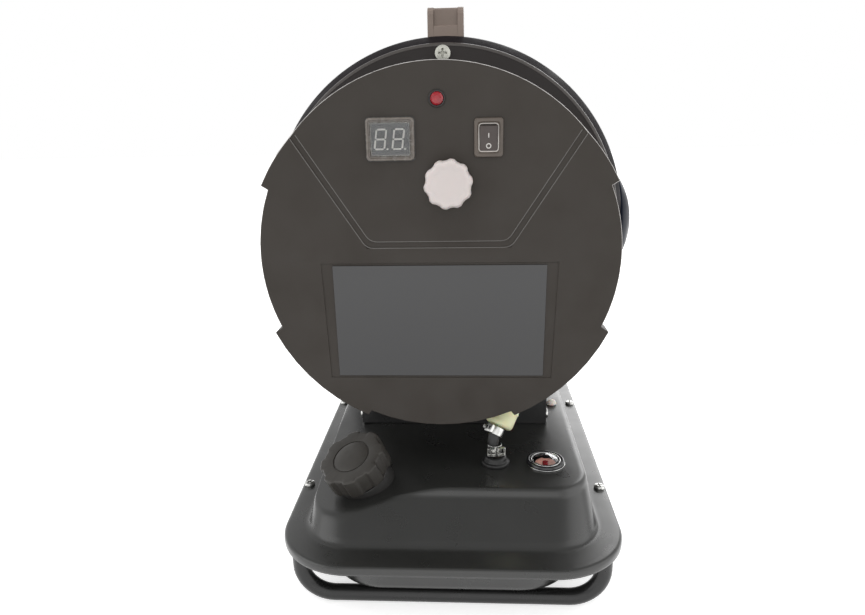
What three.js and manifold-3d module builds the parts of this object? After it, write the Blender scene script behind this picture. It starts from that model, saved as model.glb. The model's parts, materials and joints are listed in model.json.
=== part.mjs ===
// Portable infrared diesel heater: a round burner drum on a pedestal above a pressed fuel tank.
// Millimetres, +Z up. The drum's control cover faces -Y and its radiant dish faces +Y.
// The origin is on the floor, under the middle of the whole heater.
import * as THREE from "three";
import { mergeVertices } from "three/addons/utils/BufferGeometryUtils.js";
import Module from "manifold-3d";

const wasm = await Module();
wasm.setup();

// Shared sizes
const gap = 0.3; // left between two pieces that touch
const over = 3; // how far a cutter runs past what it cuts
const weld = 0.001; // vertices nearer than this are one

// Tank: a flanged upper shell with a raised plateau, over a shallow pan
const tankSheet = 1.5;
const pressShares = { shoulder: 0.5, crown: 0.6, floor: 0.4 };
const flangeWidth = 252;
const flangeLength = 388;
const flangeCorner = 55;
const flangeSteps = 7; // facets round a flange corner
const flangeTop = 49;
const flangeLip = 6.5;
const raisedSideLedge = 18;
const raisedEndLedge = 24;
const raisedCorner = 38;
const plateauSideLean = 3.5;
const plateauEndLean = 30;
const plateauCorner = 30;
const plateauRise = 30;
const plateauRound = 5;
const panSideLedge = 26;
const panEndLedge = 14;
const panCorner = 45;
const panTaper = 7;
const panRound = 5;
const panBottom = 14;

// Flange screws
const screwHead = 8.5;
const screwHeadHeight = 2.8;
const screwShank = 4;
const screwShankLength = 9;
const screwInset = 6;
const screwToFoot = 79;
const crossSlot = 1;
const screwShares = { rim: 0.45, shoulder: 0.7, crown: 0.88, slot: 0.5 };

// Feet: a bent tube under each end of the flange, welded to a strap on each side
const footTube = 12;
const footInset = 30;
const footClear = 4; // from the pan's side to the leg
const footBend = 24;
const strapClear = 4.3; // from the pan's side to the strap
const strapTail = 19; // past the flange screw
const strapThickness = 3;
const weldNut = 8;
const weldNutHeight = 3;

// Filler, on a sloped facet at the rear left corner of the plateau
const facetTilt = 12;
const facetBearing = 31;
const facetCreaseInset = 92.6;
const facetCreaseRearInset = 4.2;
const fillerInset = 36;
const fillerRearInset = 20.8;
const neckTilt = 28; // the neck leans further than the facet, on a slanted collar
const neckBearing = 46;
const neckStand = 8; // from the facet up to the neck's own origin
const neckRadius = 20;
const neckWall = 2.5;
const neckHeight = 12;
const neckDepth = 18;
const neckFlange = 21.3;
const neckFlangeThickness = 2;
const neckThread = 0.8;
const neckThreadHeight = 2;
const strainerRadius = 17;
const strainerWall = 0.8;
const strainerRim = 19.5;
const strainerRimThickness = 1;
const strainerDepth = 42;
const strainerSlotWidth = 4;
const strainerSlotHeight = 14;
const gasketInner = 16.6;
const gasketThickness = 1.5;
const capRadius = 26;
const capLobe = 2;
const capClear = 1.6;
const capSkirtGap = 3.2;
const capTop = 6.6;
const capButton = 14;
const capButtonRise = 1.4;
const capGroove = 0.8;
const capGrooveDepth = 0.9;
const capBevel = 1.4;
const capLobes = 8;
const capNotchShares = [
  [0, 0], [0.1, 0], [0.2, 0], [0.25, 0.8], [0.35, 1], [0.65, 1], [0.75, 0.8], [0.8, 0], [0.9, 0],
];
const capButtonShares = { waist: 0.6, waistRise: 0.66 };

// Fuel gauge, at the rear right of the plateau
const gaugeInset = 30.5;
const gaugeRearInset = 41.5;
const gaugeRadius = 15;
const gaugeFlange = 3.2;
const gaugeRing = 1.6;
const gaugeRingWidth = 2.2;
const gaugeWell = 9.6;
const gaugeWellDepth = 4.5;
const gaugeBarrel = 11.4;
const gaugeBarrelDepth = 16;
const gaugeStem = 6;
const gaugeStemDepth = 31;
const lensThickness = 1.6;
const lensRise = 3;
const lensShares = { rim: 0.9, rimRise: 0.25, crown: 0.6, crownRise: 0.72 };
const pointerLength = 14;
const pointerWidth = 2.2;
const pointerThickness = 0.8;
const pointerHub = 2.4;
const forkGap = 7.6;
const forkCheek = 2.2;
const forkLength = 11;
const pivotPin = 1.4;
const floatHub = 3.4;
const floatArm = 55;
const floatArmWire = 1.3;
const floatRadius = 9;
const floatLength = 22;
const floatTilt = 18; // how far below level the arm hangs in an empty tank
const pointerRest = 45;

// Fuel line from the tank to the pump
const lineInset = 70;
const lineSetback = 14; // behind the cover's face
const grommetRadius = 11;
const grommetRise = 7;
const grommetTop = 7.5;
const grommetNeck = 7;
const grommetDepth = 6;
const grommetStepShare = 0.45;
const pickupRadius = 3.2;
const pickupWall = 0.8;
const pickupFloorGap = 4;
const hoseRadius = 4.5;
const hoseBore = 3.5;
const hoseLean = 28;
const hoseLeanBack = 32;
const hoseRise = 20;
const hoseShares = { start: 0.3, bend: 0.55, fall: 0.45, top: 0.4, approach: 2.6 };
const clampHeight = 7.4;
const clampBand = 1;
const clampEar = 5;
const clampEarThickness = 1.4;
const clampEarGap = 3;
const clampStation = 4.4;
const wormLength = 9;
const wormHeight = 5;
const filterRadius = 11;
const filterLength = 32;
const filterCone = 5;
const spigotRadius = 3.2;
const spigotLength = 8;
const spigotWall = 0.9;
const filterShares = { start: 0.6, shoulder: 0.8, crown: 0.55 };

// Small plugs
const blankInset = 12.5;
const blankY = 16;
const blankRadius = 4.8;
const blankShank = 3;
const blankShankLength = 5;
const domeShares = { rim: 0.92, rimRise: 0.4, crown: 0.6, crownRise: 0.8 };
const drainY = 120;
const drainHead = 7;
const drainHeadHeight = 3.2;
const drainShank = 4;
const drainShankLength = 7;

// Pedestal: a folded box with its top cut to cradle the drum
const pedestalHalfWidth = 82;
const pedestalRear = -28;
const pedestalLength = 100;
const pedestalSheet = 2;
const saddleThickness = 2;
const lugWidth = 16;
const lugHeight = 14;
const sideScrewRise = 6;
const sideScrewInset = 10;
const sideScrewHead = 8.4;
const sideScrewHeadHeight = 2.4;
const sideScrewShank = 4.4;
const sideScrewLength = 8;

// Drum: its own frame has its origin at the cover's face, on the drum's axis
const drumClear = 36; // from the plateau to the cover's lowest edge
const drumShift = 7.5; // the drum stands this far left of the tank's centre line
const coverFaceY = -114;
const coverInset = 30; // from the hood's outside to the cover's top
const coverFlareStep = 3;
const coverSideStep = 2.5;
const coverLowStep = 4;
const coverNotches = { flare: 50, upper: 67.8, lower: 114.7, foot: 155.9, step: 0.2 }; // degrees from the top
const coverSheet = 2;
const coverWall = 1.8;
const coverRim = 16;
const embossWidth = 4.6;
const embossDepth = 0.7;
const embossTopX = 103.5;
const embossTopZ = 91;
const embossFootX = 49.5;
const embossFootZ = 8.2;
const pocketTopX = 84.3;
const pocketTopZ = -5;
const pocketFootX = 81.5;
const pocketFootZ = -91.7;
const pocketDepth = 0.7;
const labelTopX = 76.2;
const labelFootX = 75.4;
const labelMargin = 1.6;
const labelThickness = 0.5;

// Warning lamp, display, rocker switch and thermostat, on the cover
const lampX = 0.3;
const lampZ = 105.7;
const lampBezel = 6;
const lampBore = 3.6;
const lampProud = 1.6;
const lampDepth = 9;
const lampShares = { tip: 0.6, tipRise: 0.5, flankRise: 0.38, rim: 0.92, rimDrop: 0.3 };
const displayX = -31.4;
const displayZ = 80.2;
const displayWidth = 32.4;
const displayHeight = 27.8;
const displayProud = 2.4;
const displayDepth = 9;
const displayRound = 2.5;
const windowWidth = 27;
const windowHeight = 22;
const windowThickness = 1.2;
const windowSink = 0.4;
const digitsWidth = 25.2;
const digitsHeight = 19.2;
const switchX = 34.6;
const switchZ = 80.2;
const switchWidth = 19;
const switchHeight = 24.8;
const switchProud = 2.2;
const switchDepth = 16;
const switchRound = 2;
const wellWidth = 12.8;
const wellHeight = 18.2;
const wellDepth = 9;
const rockerWidth = 12;
const rockerHeight = 16.6;
const rockerCrown = 3;
const rockerDip = 1.2;
const rockerBack = 3.5;
const rockerBackHeight = 11;
const rockerPivotDepth = 1;
const rockerTilt = 8;
const knobX = 7.6;
const knobZ = 50.7;
const knobRadius = 16.2;
const knobLobe = 0.9;
const knobHeight = 15;
const knobBevel = 1.6;
const knobGap = 1;
const potRadius = 11;
const potLength = 14;
const potBush = 4.5;
const potShaft = 3;
const potShaftProud = 11;

// Control housing: the drum's rear shell
const housingInset = 22;
const housingWall = 1.2;
const housingRear = 10;
const housingFront = 138;
const coverLugWidth = 14;
const coverLugDepth = 8;
const shelfDrop = 60;
const shelfRear = 20;
const shelfLength = 46;
const spiderWall = 3;
const spiderRear = 44;
const spiderLength = 12;
const spiderArm = 4;

// Motor, fan, pump and electrics
const motorRadius = 33;
const motorRear = 30;
const motorLength = 50;
const motorBoss = 9;
const motorBossLength = 4;
const motorRoundShare = 0.1;
const shaftRadius = 4;
const shaftLength = 26;
const shaftFlatShare = 0.7;
const fanRear = 88;
const fanLength = 16;
const fanClear = 20;
const fanHub = 16;
const fanBlade = 2;
const fanPitch = 32;
const pumpX = 58;
const pumpRadius = 14;
const pumpRear = 28;
const pumpLength = 36;
const pumpNeck = 6;
const pumpNeckLength = 4;
const pumpConeShare = 0.4;
const pipeRadius = 2.2;
const pipeShares = { lowX: 0.94, lowZ: 0.98, midX: 0.5, midZ: 0.55, foot: 1.5 };
const coilInset = 8.4;
const coilWidth = 44;
const coilRear = 24;
const coilLength = 38;
const coilHeight = 34;
const coilFoot = 3;
const coilPostShares = [0.35, 0.65];
const boardLeft = -30;
const boardWidth = 68;
const boardRear = 22;
const boardLength = 42;
const boardThickness = 1.6;
const boardStandoff = 5;
const boardPost = 3;
const relayWidth = 16;
const relayLength = 20;
const relayHeight = 9;
const glandX = -42;
const glandY = 66;
const glandHex = 9;
const glandHexHeight = 6;
const glandBarrel = 6.5;
const glandBarrelHeight = 14;
const glandBore = 3.4;
const glandReachShare = 1.4;

// Burner
const burnerTubeRadius = 36;
const burnerTubeWall = 1.2;
const burnerTubeRear = 118;
const burnerTubeLength = 30;
const diffuserSetback = 6;
const nozzleShares = { hole: 0.5, shoulder: 1.5 };
const nozzleRadius = 9;
const nozzleRear = 112;
const nozzleLength = 30;
const nozzleTip = 4;
const nozzleTipLength = 6;
const electrodeRadius = 1.6;
const electrodeHalfSpan = 7;
const electrodeRise = 13;
const electrodeRear = 116;
const electrodeLength = 32;
const electrodeClip = 4;
const chamberRadius = 60;
const chamberWall = 1.2;
const chamberLength = 60;
const dishRadius = 86;
const dishSheet = 1.6;
const dishSkirt = 10;
const dishRim = 10;
const dishRise = 22;
const dishShares = { flank: 0.85, flankRise: 0.5, crown: 0.5, crownRise: 0.86, wallFlank: 1.2, wallCrown: 1.1 };
const dishHole = 4;
const dishHoleRing = 70;

// Hood, reflector and guard
const plateInset = 8.7;
const plateThickness = 1.5;
const hoodRadius = 160;
const hoodWall = 1.4;
const hoodFlangeInner = 138;
const hoodFlareLength = 16;
const hoodFront = 256;
const hoodLip = 7;
const reflectorWall = 0.8;
const reflectorFront = 238;
const reflectorLip = 8;
const guardWire = 1.8;
const guardSpoke = 1.5;
const guardRingStep = 42.5;
const hoodScrewHead = 13;
const hoodScrewHeadHeight = 3.4;
const hoodScrewShank = 5;
const hoodScrewLength = 7;
const hoodScrewZ = 144.5;

// Carry handle on top of the hood
const handleX = 2;
const handleWidth = 31;
const handleRear = 159;
const handleLength = 88;
const handleRise = 24;
const handleEndRise = 19;
const handlePost = 12;
const handleGrip = 8;
const handleRound = 8;
const handleGroove = 20;
const handleGrooveDepth = 1.2;
const handleGrooveShare = 0.35;

// Domed cover on the right side of the hood
const domeY = 196;
const domeZ = -5;
const domeRadius = 45;
const domeRise = 15;
const domeWall = 2;

// Worked out from the sizes above
const drumX = -domeRise / 2;
const tankX = drumX + drumShift;
const plateauTop = flangeTop + plateauRise;
const raisedWidth = flangeWidth - 2 * raisedSideLedge;
const raisedLength = flangeLength - 2 * raisedEndLedge;
const plateauWidth = raisedWidth - 2 * plateauSideLean;
const plateauLength = raisedLength - 2 * plateauEndLean;
const panWidth = flangeWidth - 2 * panSideLedge;
const panLength = flangeLength - 2 * panEndLedge;
const footHalfSpan = panWidth / 2 + footClear + footTube / 2;
const facetCreaseX = facetCreaseInset - plateauWidth / 2;
const facetCreaseY = facetCreaseRearInset - plateauLength / 2;
const fillerX = fillerInset - plateauWidth / 2;
const fillerY = fillerRearInset - plateauLength / 2;
const gaugeX = plateauWidth / 2 - gaugeInset;
const gaugeY = gaugeRearInset - plateauLength / 2;
const lineX = plateauWidth / 2 - lineInset;
const lineY = coverFaceY + lineSetback;
const blankX = plateauWidth / 2 - blankInset;
const panFlangeTop = flangeTop - tankSheet - gap;
const panFlangeBottom = panFlangeTop - tankSheet;
const strapTop = panFlangeBottom - gap;
const strapBottom = strapTop - strapThickness;
const screwHalfX = flangeWidth / 2 - screwInset;
const footY = flangeLength / 2 - footInset;
const screwHalfY = footY - screwToFoot;
const coverTopRadius = hoodRadius - coverInset;
const coverFlareRadius = coverTopRadius + coverFlareStep;
const coverSideRadius = coverTopRadius - coverSideStep;
const coverLowRadius = coverTopRadius + coverLowStep;
const housingRadius = coverTopRadius - housingInset;
const fanRadius = housingRadius - fanClear;
const plateRadius = hoodRadius - plateInset;
const drumHeight = plateauTop + drumClear + coverLowRadius;
const plateRear = housingFront + gap;
const hoodRear = plateRear + plateThickness + gap;
const chamberRear = hoodRear;
const chamberFront = chamberRear + chamberLength;
const housingInner = housingRadius - housingWall;
const shelfTop = -shelfDrop;
const coilLeft = coilInset - Math.sqrt(housingInner ** 2 - shelfDrop ** 2);
const shelfSeat = shelfTop + gap;

// Finishes
function finish(color, roughness, metalness) {
  return new THREE.MeshStandardMaterial({ color, roughness, metalness });
}
const tankPaint = finish(0x0c0c0d, 0.22, 0.1);
const coverPaint = finish(0x2c2a28, 0.55, 0);
const framePaint = finish(0x101010, 0.35, 0.1);
const brightSteel = finish(0xc9c9c6, 0.3, 1);
const chrome = finish(0xe4e4e2, 0.08, 1);
const stainless = finish(0x9a9792, 0.35, 1);
const polished = finish(0xd8d8d6, 0.12, 1);
const brass = finish(0xb9974a, 0.35, 1);
const copper = finish(0xb06a43, 0.35, 1);
const darkPlastic = finish(0x2a2826, 0.7, 0);
const handlePlastic = finish(0x6a5f56, 0.6, 0);
const knobPlastic = finish(0xdbd0ce, 0.4, 0);
const creamPlastic = finish(0xe4e2c4, 0.45, 0);
const whitePlastic = finish(0xe6dcd8, 0.5, 0);
const clearPlastic = finish(0x8a8f8e, 0.08, 0);
const redPlastic = finish(0xa01520, 0.2, 0);
const blackRubber = finish(0x161616, 0.8, 0);
const labelFilm = finish(0x08080a, 0.1, 0);
const boardGreen = finish(0x1f5a38, 0.6, 0);

// Solids: every geometry becomes a manifold so that pieces can be joined and cut

function degrees(angle) {
  return THREE.MathUtils.degToRad(angle);
}

function solidOf(geometry) {
  const bare = new THREE.BufferGeometry();
  bare.setAttribute("position", geometry.getAttribute("position").clone());
  if (geometry.index) bare.setIndex(geometry.index.clone());
  const merged = mergeVertices(bare, weld);
  const place = merged.getAttribute("position");
  const index = merged.index.array;
  const kept = [];
  for (let i = 0; i < index.length; i += 3) {
    const [a, b, c] = [index[i], index[i + 1], index[i + 2]];
    if (a !== b && b !== c && c !== a) kept.push(a, b, c);
  }
  const corner = [new THREE.Vector3(), new THREE.Vector3(), new THREE.Vector3()];
  let sixVolumes = 0;
  for (let i = 0; i < kept.length; i += 3) {
    corner.forEach((v, k) => v.fromBufferAttribute(place, kept[i + k]));
    sixVolumes += corner[0].dot(corner[1].cross(corner[2]));
  }
  if (sixVolumes < 0) kept.reverse();
  const vertProperties = new Float32Array(place.array);
  const triVerts = new Uint32Array(kept);
  return new wasm.Manifold(new wasm.Mesh({ numProp: 3, vertProperties, triVerts }));
}

function geometryOf(solid) {
  const made = solid.getMesh();
  const points = new Float32Array(made.numVert * 3);
  for (let i = 0; i < made.numVert; i++) {
    points.set(made.vertProperties.subarray(i * made.numProp, i * made.numProp + 3), i * 3);
  }
  const geometry = new THREE.BufferGeometry();
  geometry.setAttribute("position", new THREE.BufferAttribute(points, 3));
  geometry.setIndex(new THREE.BufferAttribute(new Uint32Array(made.triVerts), 1));
  geometry.computeVertexNormals();
  return geometry;
}

function join(first, ...rest) {
  return rest.reduce((sum, next) => sum.add(next), first);
}

function cut(first, ...rest) {
  return rest.reduce((left, next) => left.subtract(next), first);
}

// A box from its low corner to its high corner
function block(x0, x1, y0, y1, z0, z1) {
  const box = new THREE.BoxGeometry(x1 - x0, y1 - y0, z1 - z0);
  return solidOf(box.translate((x0 + x1) / 2, (y0 + y1) / 2, (z0 + z1) / 2));
}

// Turned shapes: the profile is a list of [radius, station] along the axis
function turned(profile, sides) {
  const points = profile.map(([r, s]) => new THREE.Vector2(r, s));
  const first = points[0];
  const last = points[points.length - 1];
  if (first.x > 0 || last.x > 0) points.push(first.clone());
  return new THREE.LatheGeometry(points, sides);
}

function turnedY(profile, sides = 32, x = 0, z = 0) {
  return solidOf(turned(profile, sides).translate(x, 0, z));
}

function turnedZ(profile, sides = 32, x = 0, y = 0) {
  return solidOf(turned(profile, sides).rotateX(Math.PI / 2).translate(x, y, 0));
}

function turnedX(profile, sides = 32, y = 0, z = 0) {
  return solidOf(turned(profile, sides).rotateZ(-Math.PI / 2).translate(0, y, z));
}

function bar(radius, from, to) {
  return [[0, from], [radius, from], [radius, to], [0, to]];
}

function pipe(inner, outer, from, to) {
  return [[inner, from], [outer, from], [outer, to], [inner, to]];
}

// Flat shapes
function outline(points) {
  return new THREE.Shape(points.map(([x, y]) => new THREE.Vector2(x, y)));
}

function roundedPoints(width, height, radius, steps = 5) {
  const points = [];
  const corners = [[1, 1, 0], [-1, 1, 90], [-1, -1, 180], [1, -1, 270]];
  for (const [sx, sy, start] of corners) {
    for (let i = 0; i <= steps; i++) {
      const a = degrees(start + (90 * i) / steps);
      const x = sx * (width / 2 - radius) + radius * Math.cos(a);
      const y = sy * (height / 2 - radius) + radius * Math.sin(a);
      points.push([x, y]);
    }
  }
  return points;
}

function lobedPoints(radius, lobe, lobes, steps) {
  const points = [];
  for (let i = 0; i < lobes * steps; i++) {
    const a = (2 * Math.PI * i) / (lobes * steps);
    const r = radius - lobe / 2 + (lobe / 2) * Math.cos(lobes * a);
    points.push([r * Math.cos(a), r * Math.sin(a)]);
  }
  return points;
}

// A round outline with notches: the shares give each point's place in its pitch and its depth
function notchedPoints(radius, depth, notches, shares) {
  const points = [];
  for (let i = 0; i < notches; i++) {
    for (const [along, deep] of shares) {
      const a = (2 * Math.PI * (i + along)) / notches;
      const r = radius - depth * deep;
      points.push([r * Math.cos(a), r * Math.sin(a)]);
    }
  }
  return points;
}

// A flat shape of x and y made solid from z0 to z1
function slab(points, z0, z1, x = 0, y = 0) {
  const options = { depth: z1 - z0, bevelEnabled: false };
  return solidOf(new THREE.ExtrudeGeometry(outline(points), options).translate(x, y, z0));
}

// A flat shape of x and z made solid from y0 to y1
function plate(points, y0, y1, x = 0, z = 0) {
  const options = { depth: y1 - y0, bevelEnabled: false };
  const made = new THREE.ExtrudeGeometry(outline(points), options);
  return solidOf(made.rotateX(Math.PI / 2).translate(x, y1, z));
}

// A flat shape of y and z made solid from x0 to x1
function profileX(points, x0, x1) {
  const options = { depth: x1 - x0, bevelEnabled: false };
  const made = new THREE.ExtrudeGeometry(outline(points), options);
  return solidOf(made.rotateX(Math.PI / 2).rotateZ(Math.PI / 2).translate(x0, 0, 0));
}

// A skin through rings of equal count, closed at both ends
function loft(rings) {
  const count = rings[0].length;
  const points = [];
  const faces = [];
  rings.forEach((ring) => ring.forEach((p) => points.push(...p)));
  for (let r = 0; r + 1 < rings.length; r++) {
    for (let i = 0; i < count; i++) {
      const j = (i + 1) % count;
      const [a, b] = [r * count + i, r * count + j];
      faces.push(a, b, b + count, a, b + count, a + count);
    }
  }
  const last = (rings.length - 1) * count;
  for (let i = 1; i + 1 < count; i++) {
    faces.push(0, i + 1, i);
    faces.push(last, last + i, last + i + 1);
  }
  const geometry = new THREE.BufferGeometry();
  geometry.setAttribute("position", new THREE.Float32BufferAttribute(points, 3));
  geometry.setIndex(faces);
  return solidOf(geometry);
}

function ringAt(width, length, radius, z) {
  return roundedPoints(width, length, radius).map(([x, y]) => [x, y, z]);
}

// A round bar or hose along a curve, with a flat side down
function sweep(curve, radius, sides, steps) {
  const section = [];
  for (let i = 0; i < sides; i++) {
    const a = (2 * Math.PI * (i + 0.5)) / sides;
    section.push([(radius / Math.cos(Math.PI / sides)) * Math.cos(a), 0]);
    section[i][1] = (radius / Math.cos(Math.PI / sides)) * Math.sin(a);
  }
  const options = { steps, extrudePath: curve, bevelEnabled: false };
  return solidOf(new THREE.ExtrudeGeometry(outline(section), options));
}

function smoothPath(points) {
  const places = points.map((p) => new THREE.Vector3(...p));
  return new THREE.CatmullRomCurve3(places, false, "centripetal");
}

const heater = new THREE.Group();
const tank = new THREE.Group();
tank.position.set(tankX, 0, 0);
const drum = new THREE.Group();
drum.position.set(drumX, coverFaceY, drumHeight);
heater.add(tank, drum);

function piece(name, solid, material, parent) {
  const mesh = new THREE.Mesh(geometryOf(solid), material);
  mesh.name = name;
  parent.add(mesh);
  return mesh;
}

// Tank

// An upright direction leant towards the rear left
function leant(tilt, bearing) {
  const [t, b] = [degrees(tilt), degrees(bearing)];
  return new THREE.Vector3(-Math.sin(t) * Math.cos(b), -Math.sin(t) * Math.sin(b), Math.cos(t));
}

const upward = new THREE.Vector3(0, 0, 1);
const facetNormal = leant(facetTilt, facetBearing);
const facetTurn = new THREE.Quaternion().setFromUnitVectors(upward, facetNormal);
const neckTurn = new THREE.Quaternion().setFromUnitVectors(upward, leant(neckTilt, neckBearing));

function facetHeight(x, y) {
  const fall = facetNormal.x * (x - facetCreaseX) + facetNormal.y * (y - facetCreaseY);
  return plateauTop - fall / facetNormal.z;
}

const fillerPlace = new THREE.Matrix4().compose(
  new THREE.Vector3(fillerX, fillerY, facetHeight(fillerX, fillerY) + neckStand),
  neckTurn,
  new THREE.Vector3(1, 1, 1),
);

// Everything above the sloped facet, sunk by a depth measured square to it
function aboveFacet(depth) {
  const reach = flangeLength;
  const box = new THREE.BoxGeometry(2 * reach, 2 * reach, reach).translate(0, 0, reach / 2 - depth);
  return box.applyQuaternion(facetTurn).translate(facetCreaseX, facetCreaseY, plateauTop);
}

function raisedBody(inset, bottom) {
  const shrink = 2 * inset;
  const shoulder = plateauTop - plateauRound - inset * pressShares.shoulder;
  const topInset = 2 * (inset + plateauRound * pressShares.crown);
  const rings = [
    ringAt(raisedWidth - shrink, raisedLength - shrink, raisedCorner - inset, bottom),
    ringAt(raisedWidth - shrink, raisedLength - shrink, raisedCorner - inset, flangeTop),
    ringAt(plateauWidth - shrink, plateauLength - shrink, plateauCorner - inset, shoulder),
    ringAt(plateauWidth - topInset, plateauLength - topInset, plateauCorner - inset, plateauTop - inset),
  ];
  return cut(loft(rings), solidOf(aboveFacet(inset)));
}

const screwPlaces = [
  [-screwHalfX, -screwHalfY],
  [screwHalfX, -screwHalfY],
  [-screwHalfX, screwHalfY],
  [screwHalfX, screwHalfY],
];
const shankClear = screwShank / 2 + gap;

function shankHoles(radius, from, to) {
  return screwPlaces.map(([x, y]) => turnedZ(bar(radius, from, to), 16, x, y));
}

function upperShell() {
  const flangeBottom = flangeTop - tankSheet;
  const corner = flangeCorner - tankSheet;
  const [lipWidth, lipLength] = [flangeWidth - 2 * tankSheet, flangeLength - 2 * tankSheet];
  const pressing = slab(roundedPoints(flangeWidth, flangeLength, flangeCorner, flangeSteps),
    flangeTop - flangeLip, flangeTop);
  const underside = slab(roundedPoints(lipWidth, lipLength, corner, flangeSteps), flangeTop - flangeLip - over,
    flangeBottom);
  const body = raisedBody(0, flangeBottom);
  const cavity = raisedBody(tankSheet, flangeBottom - over);
  const lugX = pedestalHalfWidth - pedestalSheet - gap;
  const lugY = pedestalRear + pedestalSheet + gap;
  const lugs = [-1, 1].map((side) => {
    const [x0, x1] = [side * lugX, side * (lugX - pedestalSheet)].sort((a, b) => a - b);
    return block(x0, x1, lugY, lugY + lugWidth, plateauTop - tankSheet, plateauTop + lugHeight);
  });
  const screwZ = plateauTop + sideScrewRise;
  const sideHole = bar(sideScrewShank / 2 + gap, -pedestalHalfWidth, pedestalHalfWidth);
  const neckHole = turned(bar(neckRadius + gap, -neckDepth, neckDepth), 28).rotateX(Math.PI / 2);
  return cut(
    join(cut(pressing, underside), body, ...lugs),
    cavity,
    ...shankHoles(shankClear, flangeBottom - over, flangeTop + over),
    turnedX(sideHole, 16, pedestalRear + sideScrewInset, screwZ),
    solidOf(neckHole.applyMatrix4(fillerPlace)),
    turnedZ(bar(gaugeBarrel + gap, flangeTop, plateauTop + over), 28, gaugeX, gaugeY),
    turnedZ(bar(grommetNeck + gap, flangeTop, plateauTop + over), 24, lineX, lineY),
    turnedZ(bar(blankShank + gap, flangeTop, plateauTop + over), 16, blankX, blankY),
  );
}

function lowerPan() {
  const rim = [flangeWidth - 2 * (tankSheet + gap), flangeLength - 2 * (tankSheet + gap)];
  const flange = slab(roundedPoints(rim[0], rim[1], flangeCorner - tankSheet - gap, flangeSteps),
    panFlangeBottom, panFlangeTop);
  const belly = (inset, top) => {
    const shrink = 2 * inset;
    const low = 2 * (panTaper + inset);
    const floor = 2 * (panTaper + panRound + inset);
    return loft([
      ringAt(panWidth - floor, panLength - floor, panCorner - panRound - inset, panBottom + inset),
      ringAt(panWidth - low, panLength - low, panCorner - inset,
        panBottom + panRound + inset * pressShares.floor),
      ringAt(panWidth - shrink, panLength - shrink, panCorner - inset, top),
    ]);
  };
  return cut(
    join(flange, belly(0, panFlangeTop)),
    belly(tankSheet, panFlangeTop + over),
    ...shankHoles(shankClear, panFlangeBottom - over, panFlangeTop + over),
    turnedZ(bar(drainShank + gap, 0, flangeTop), 20, 0, drainY),
  );
}

function panScrew(head, headHeight, shank, shankLength) {
  const [r, s] = [head / 2, shank / 2];
  const { rim, shoulder, crown, slot } = screwShares;
  const body = turnedZ([[0, -shankLength], [s, -shankLength], [s, 0], [r, 0], [r, headHeight * rim],
    [r * shoulder, headHeight * crown], [0, headHeight]], 12);
  const [wide, deep] = [crossSlot / 2, headHeight * slot];
  return cut(
    body,
    block(-r * slot, r * slot, -wide, wide, deep, headHeight + over),
    block(-wide, wide, -r * slot, r * slot, deep, headHeight + over),
  );
}

// A U of tube across the heater, its legs welded to straps that run under the flange
function foot(end) {
  const y = end * footY;
  const low = footTube / 2;
  const legTop = strapBottom + strapThickness / 2;
  const corner = (sx) => {
    const points = [];
    for (let i = 0; i <= 6; i++) {
      const a = (Math.PI / 2) * (i / 6);
      const x = footHalfSpan - footBend + footBend * Math.cos(a);
      points.push(new THREE.Vector3(sx * x, y, low + footBend - footBend * Math.sin(a)));
    }
    return points;
  };
  const points = [
    new THREE.Vector3(-footHalfSpan, y, legTop),
    ...corner(-1),
    ...corner(1).reverse(),
    new THREE.Vector3(footHalfSpan, y, legTop),
  ];
  const tube = footTubeAlong(points, footTube / 2, 8);
  const strapY = [end * (footY + (flangeLength / 2 - footY) / 3), end * (screwHalfY - strapTail)];
  const [y0, y1] = strapY.sort((a, b) => a - b);
  const rim = tankSheet + 2 * gap;
  const lipInner = roundedPoints(flangeWidth - 2 * rim, flangeLength - 2 * rim, flangeCorner - rim,
    flangeSteps);
  const straps = [-1, 1].map((side) => {
    const outer = flangeWidth / 2 - rim;
    const [x0, x1] = [side * (panWidth / 2 + strapClear), side * outer].sort((a, b) => a - b);
    const withinLip = slab(lipInner, strapBottom - over, strapTop + over);
    return block(x0, x1, y0, y1, strapBottom, strapTop).intersect(withinLip);
  });
  const nutY = end * screwHalfY;
  const nuts = [-1, 1].map((side) =>
    turnedZ(bar(weldNut / 2, strapBottom - weldNutHeight, strapTop), 12, side * screwHalfX, nutY));
  return cut(
    join(tube, ...straps, ...nuts),
    ...shankHoles(shankClear, strapBottom - weldNutHeight - over, strapTop + over),
  );
}

// A tube of flat-sided section through points that lie in one plane square to Y
function footTubeAlong(points, radius, sides) {
  const rings = points.map((p, i) => {
    const before = points[Math.max(i - 1, 0)];
    const after = points[Math.min(i + 1, points.length - 1)];
    const along = after.clone().sub(before).normalize();
    const side = new THREE.Vector3(0, 1, 0);
    const out = along.clone().cross(side);
    const ring = [];
    for (let k = 0; k < sides; k++) {
      const a = (2 * Math.PI * (k + 0.5)) / sides;
      const r = radius / Math.cos(Math.PI / sides);
      const q = p.clone().addScaledVector(side, r * Math.cos(a)).addScaledVector(out, r * Math.sin(a));
      ring.push([q.x, q.y, q.z]);
    }
    return ring;
  });
  return loft(rings);
}

piece("tank_upper_shell", upperShell(), tankPaint, tank);
piece("tank_lower_pan", lowerPan(), tankPaint, tank);
screwPlaces.forEach(([x, y], i) => {
  const screw = panScrew(screwHead, screwHeadHeight, screwShank, screwShankLength);
  piece(`tank_screw_${i + 1}`, screw, brightSteel, tank).position.set(x, y, flangeTop + gap);
});
piece("foot_rear", foot(-1), framePaint, tank);
piece("foot_front", foot(1), framePaint, tank);

// Filler: these pieces stand square to the leaning neck, whose collar is cut to the facet

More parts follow.
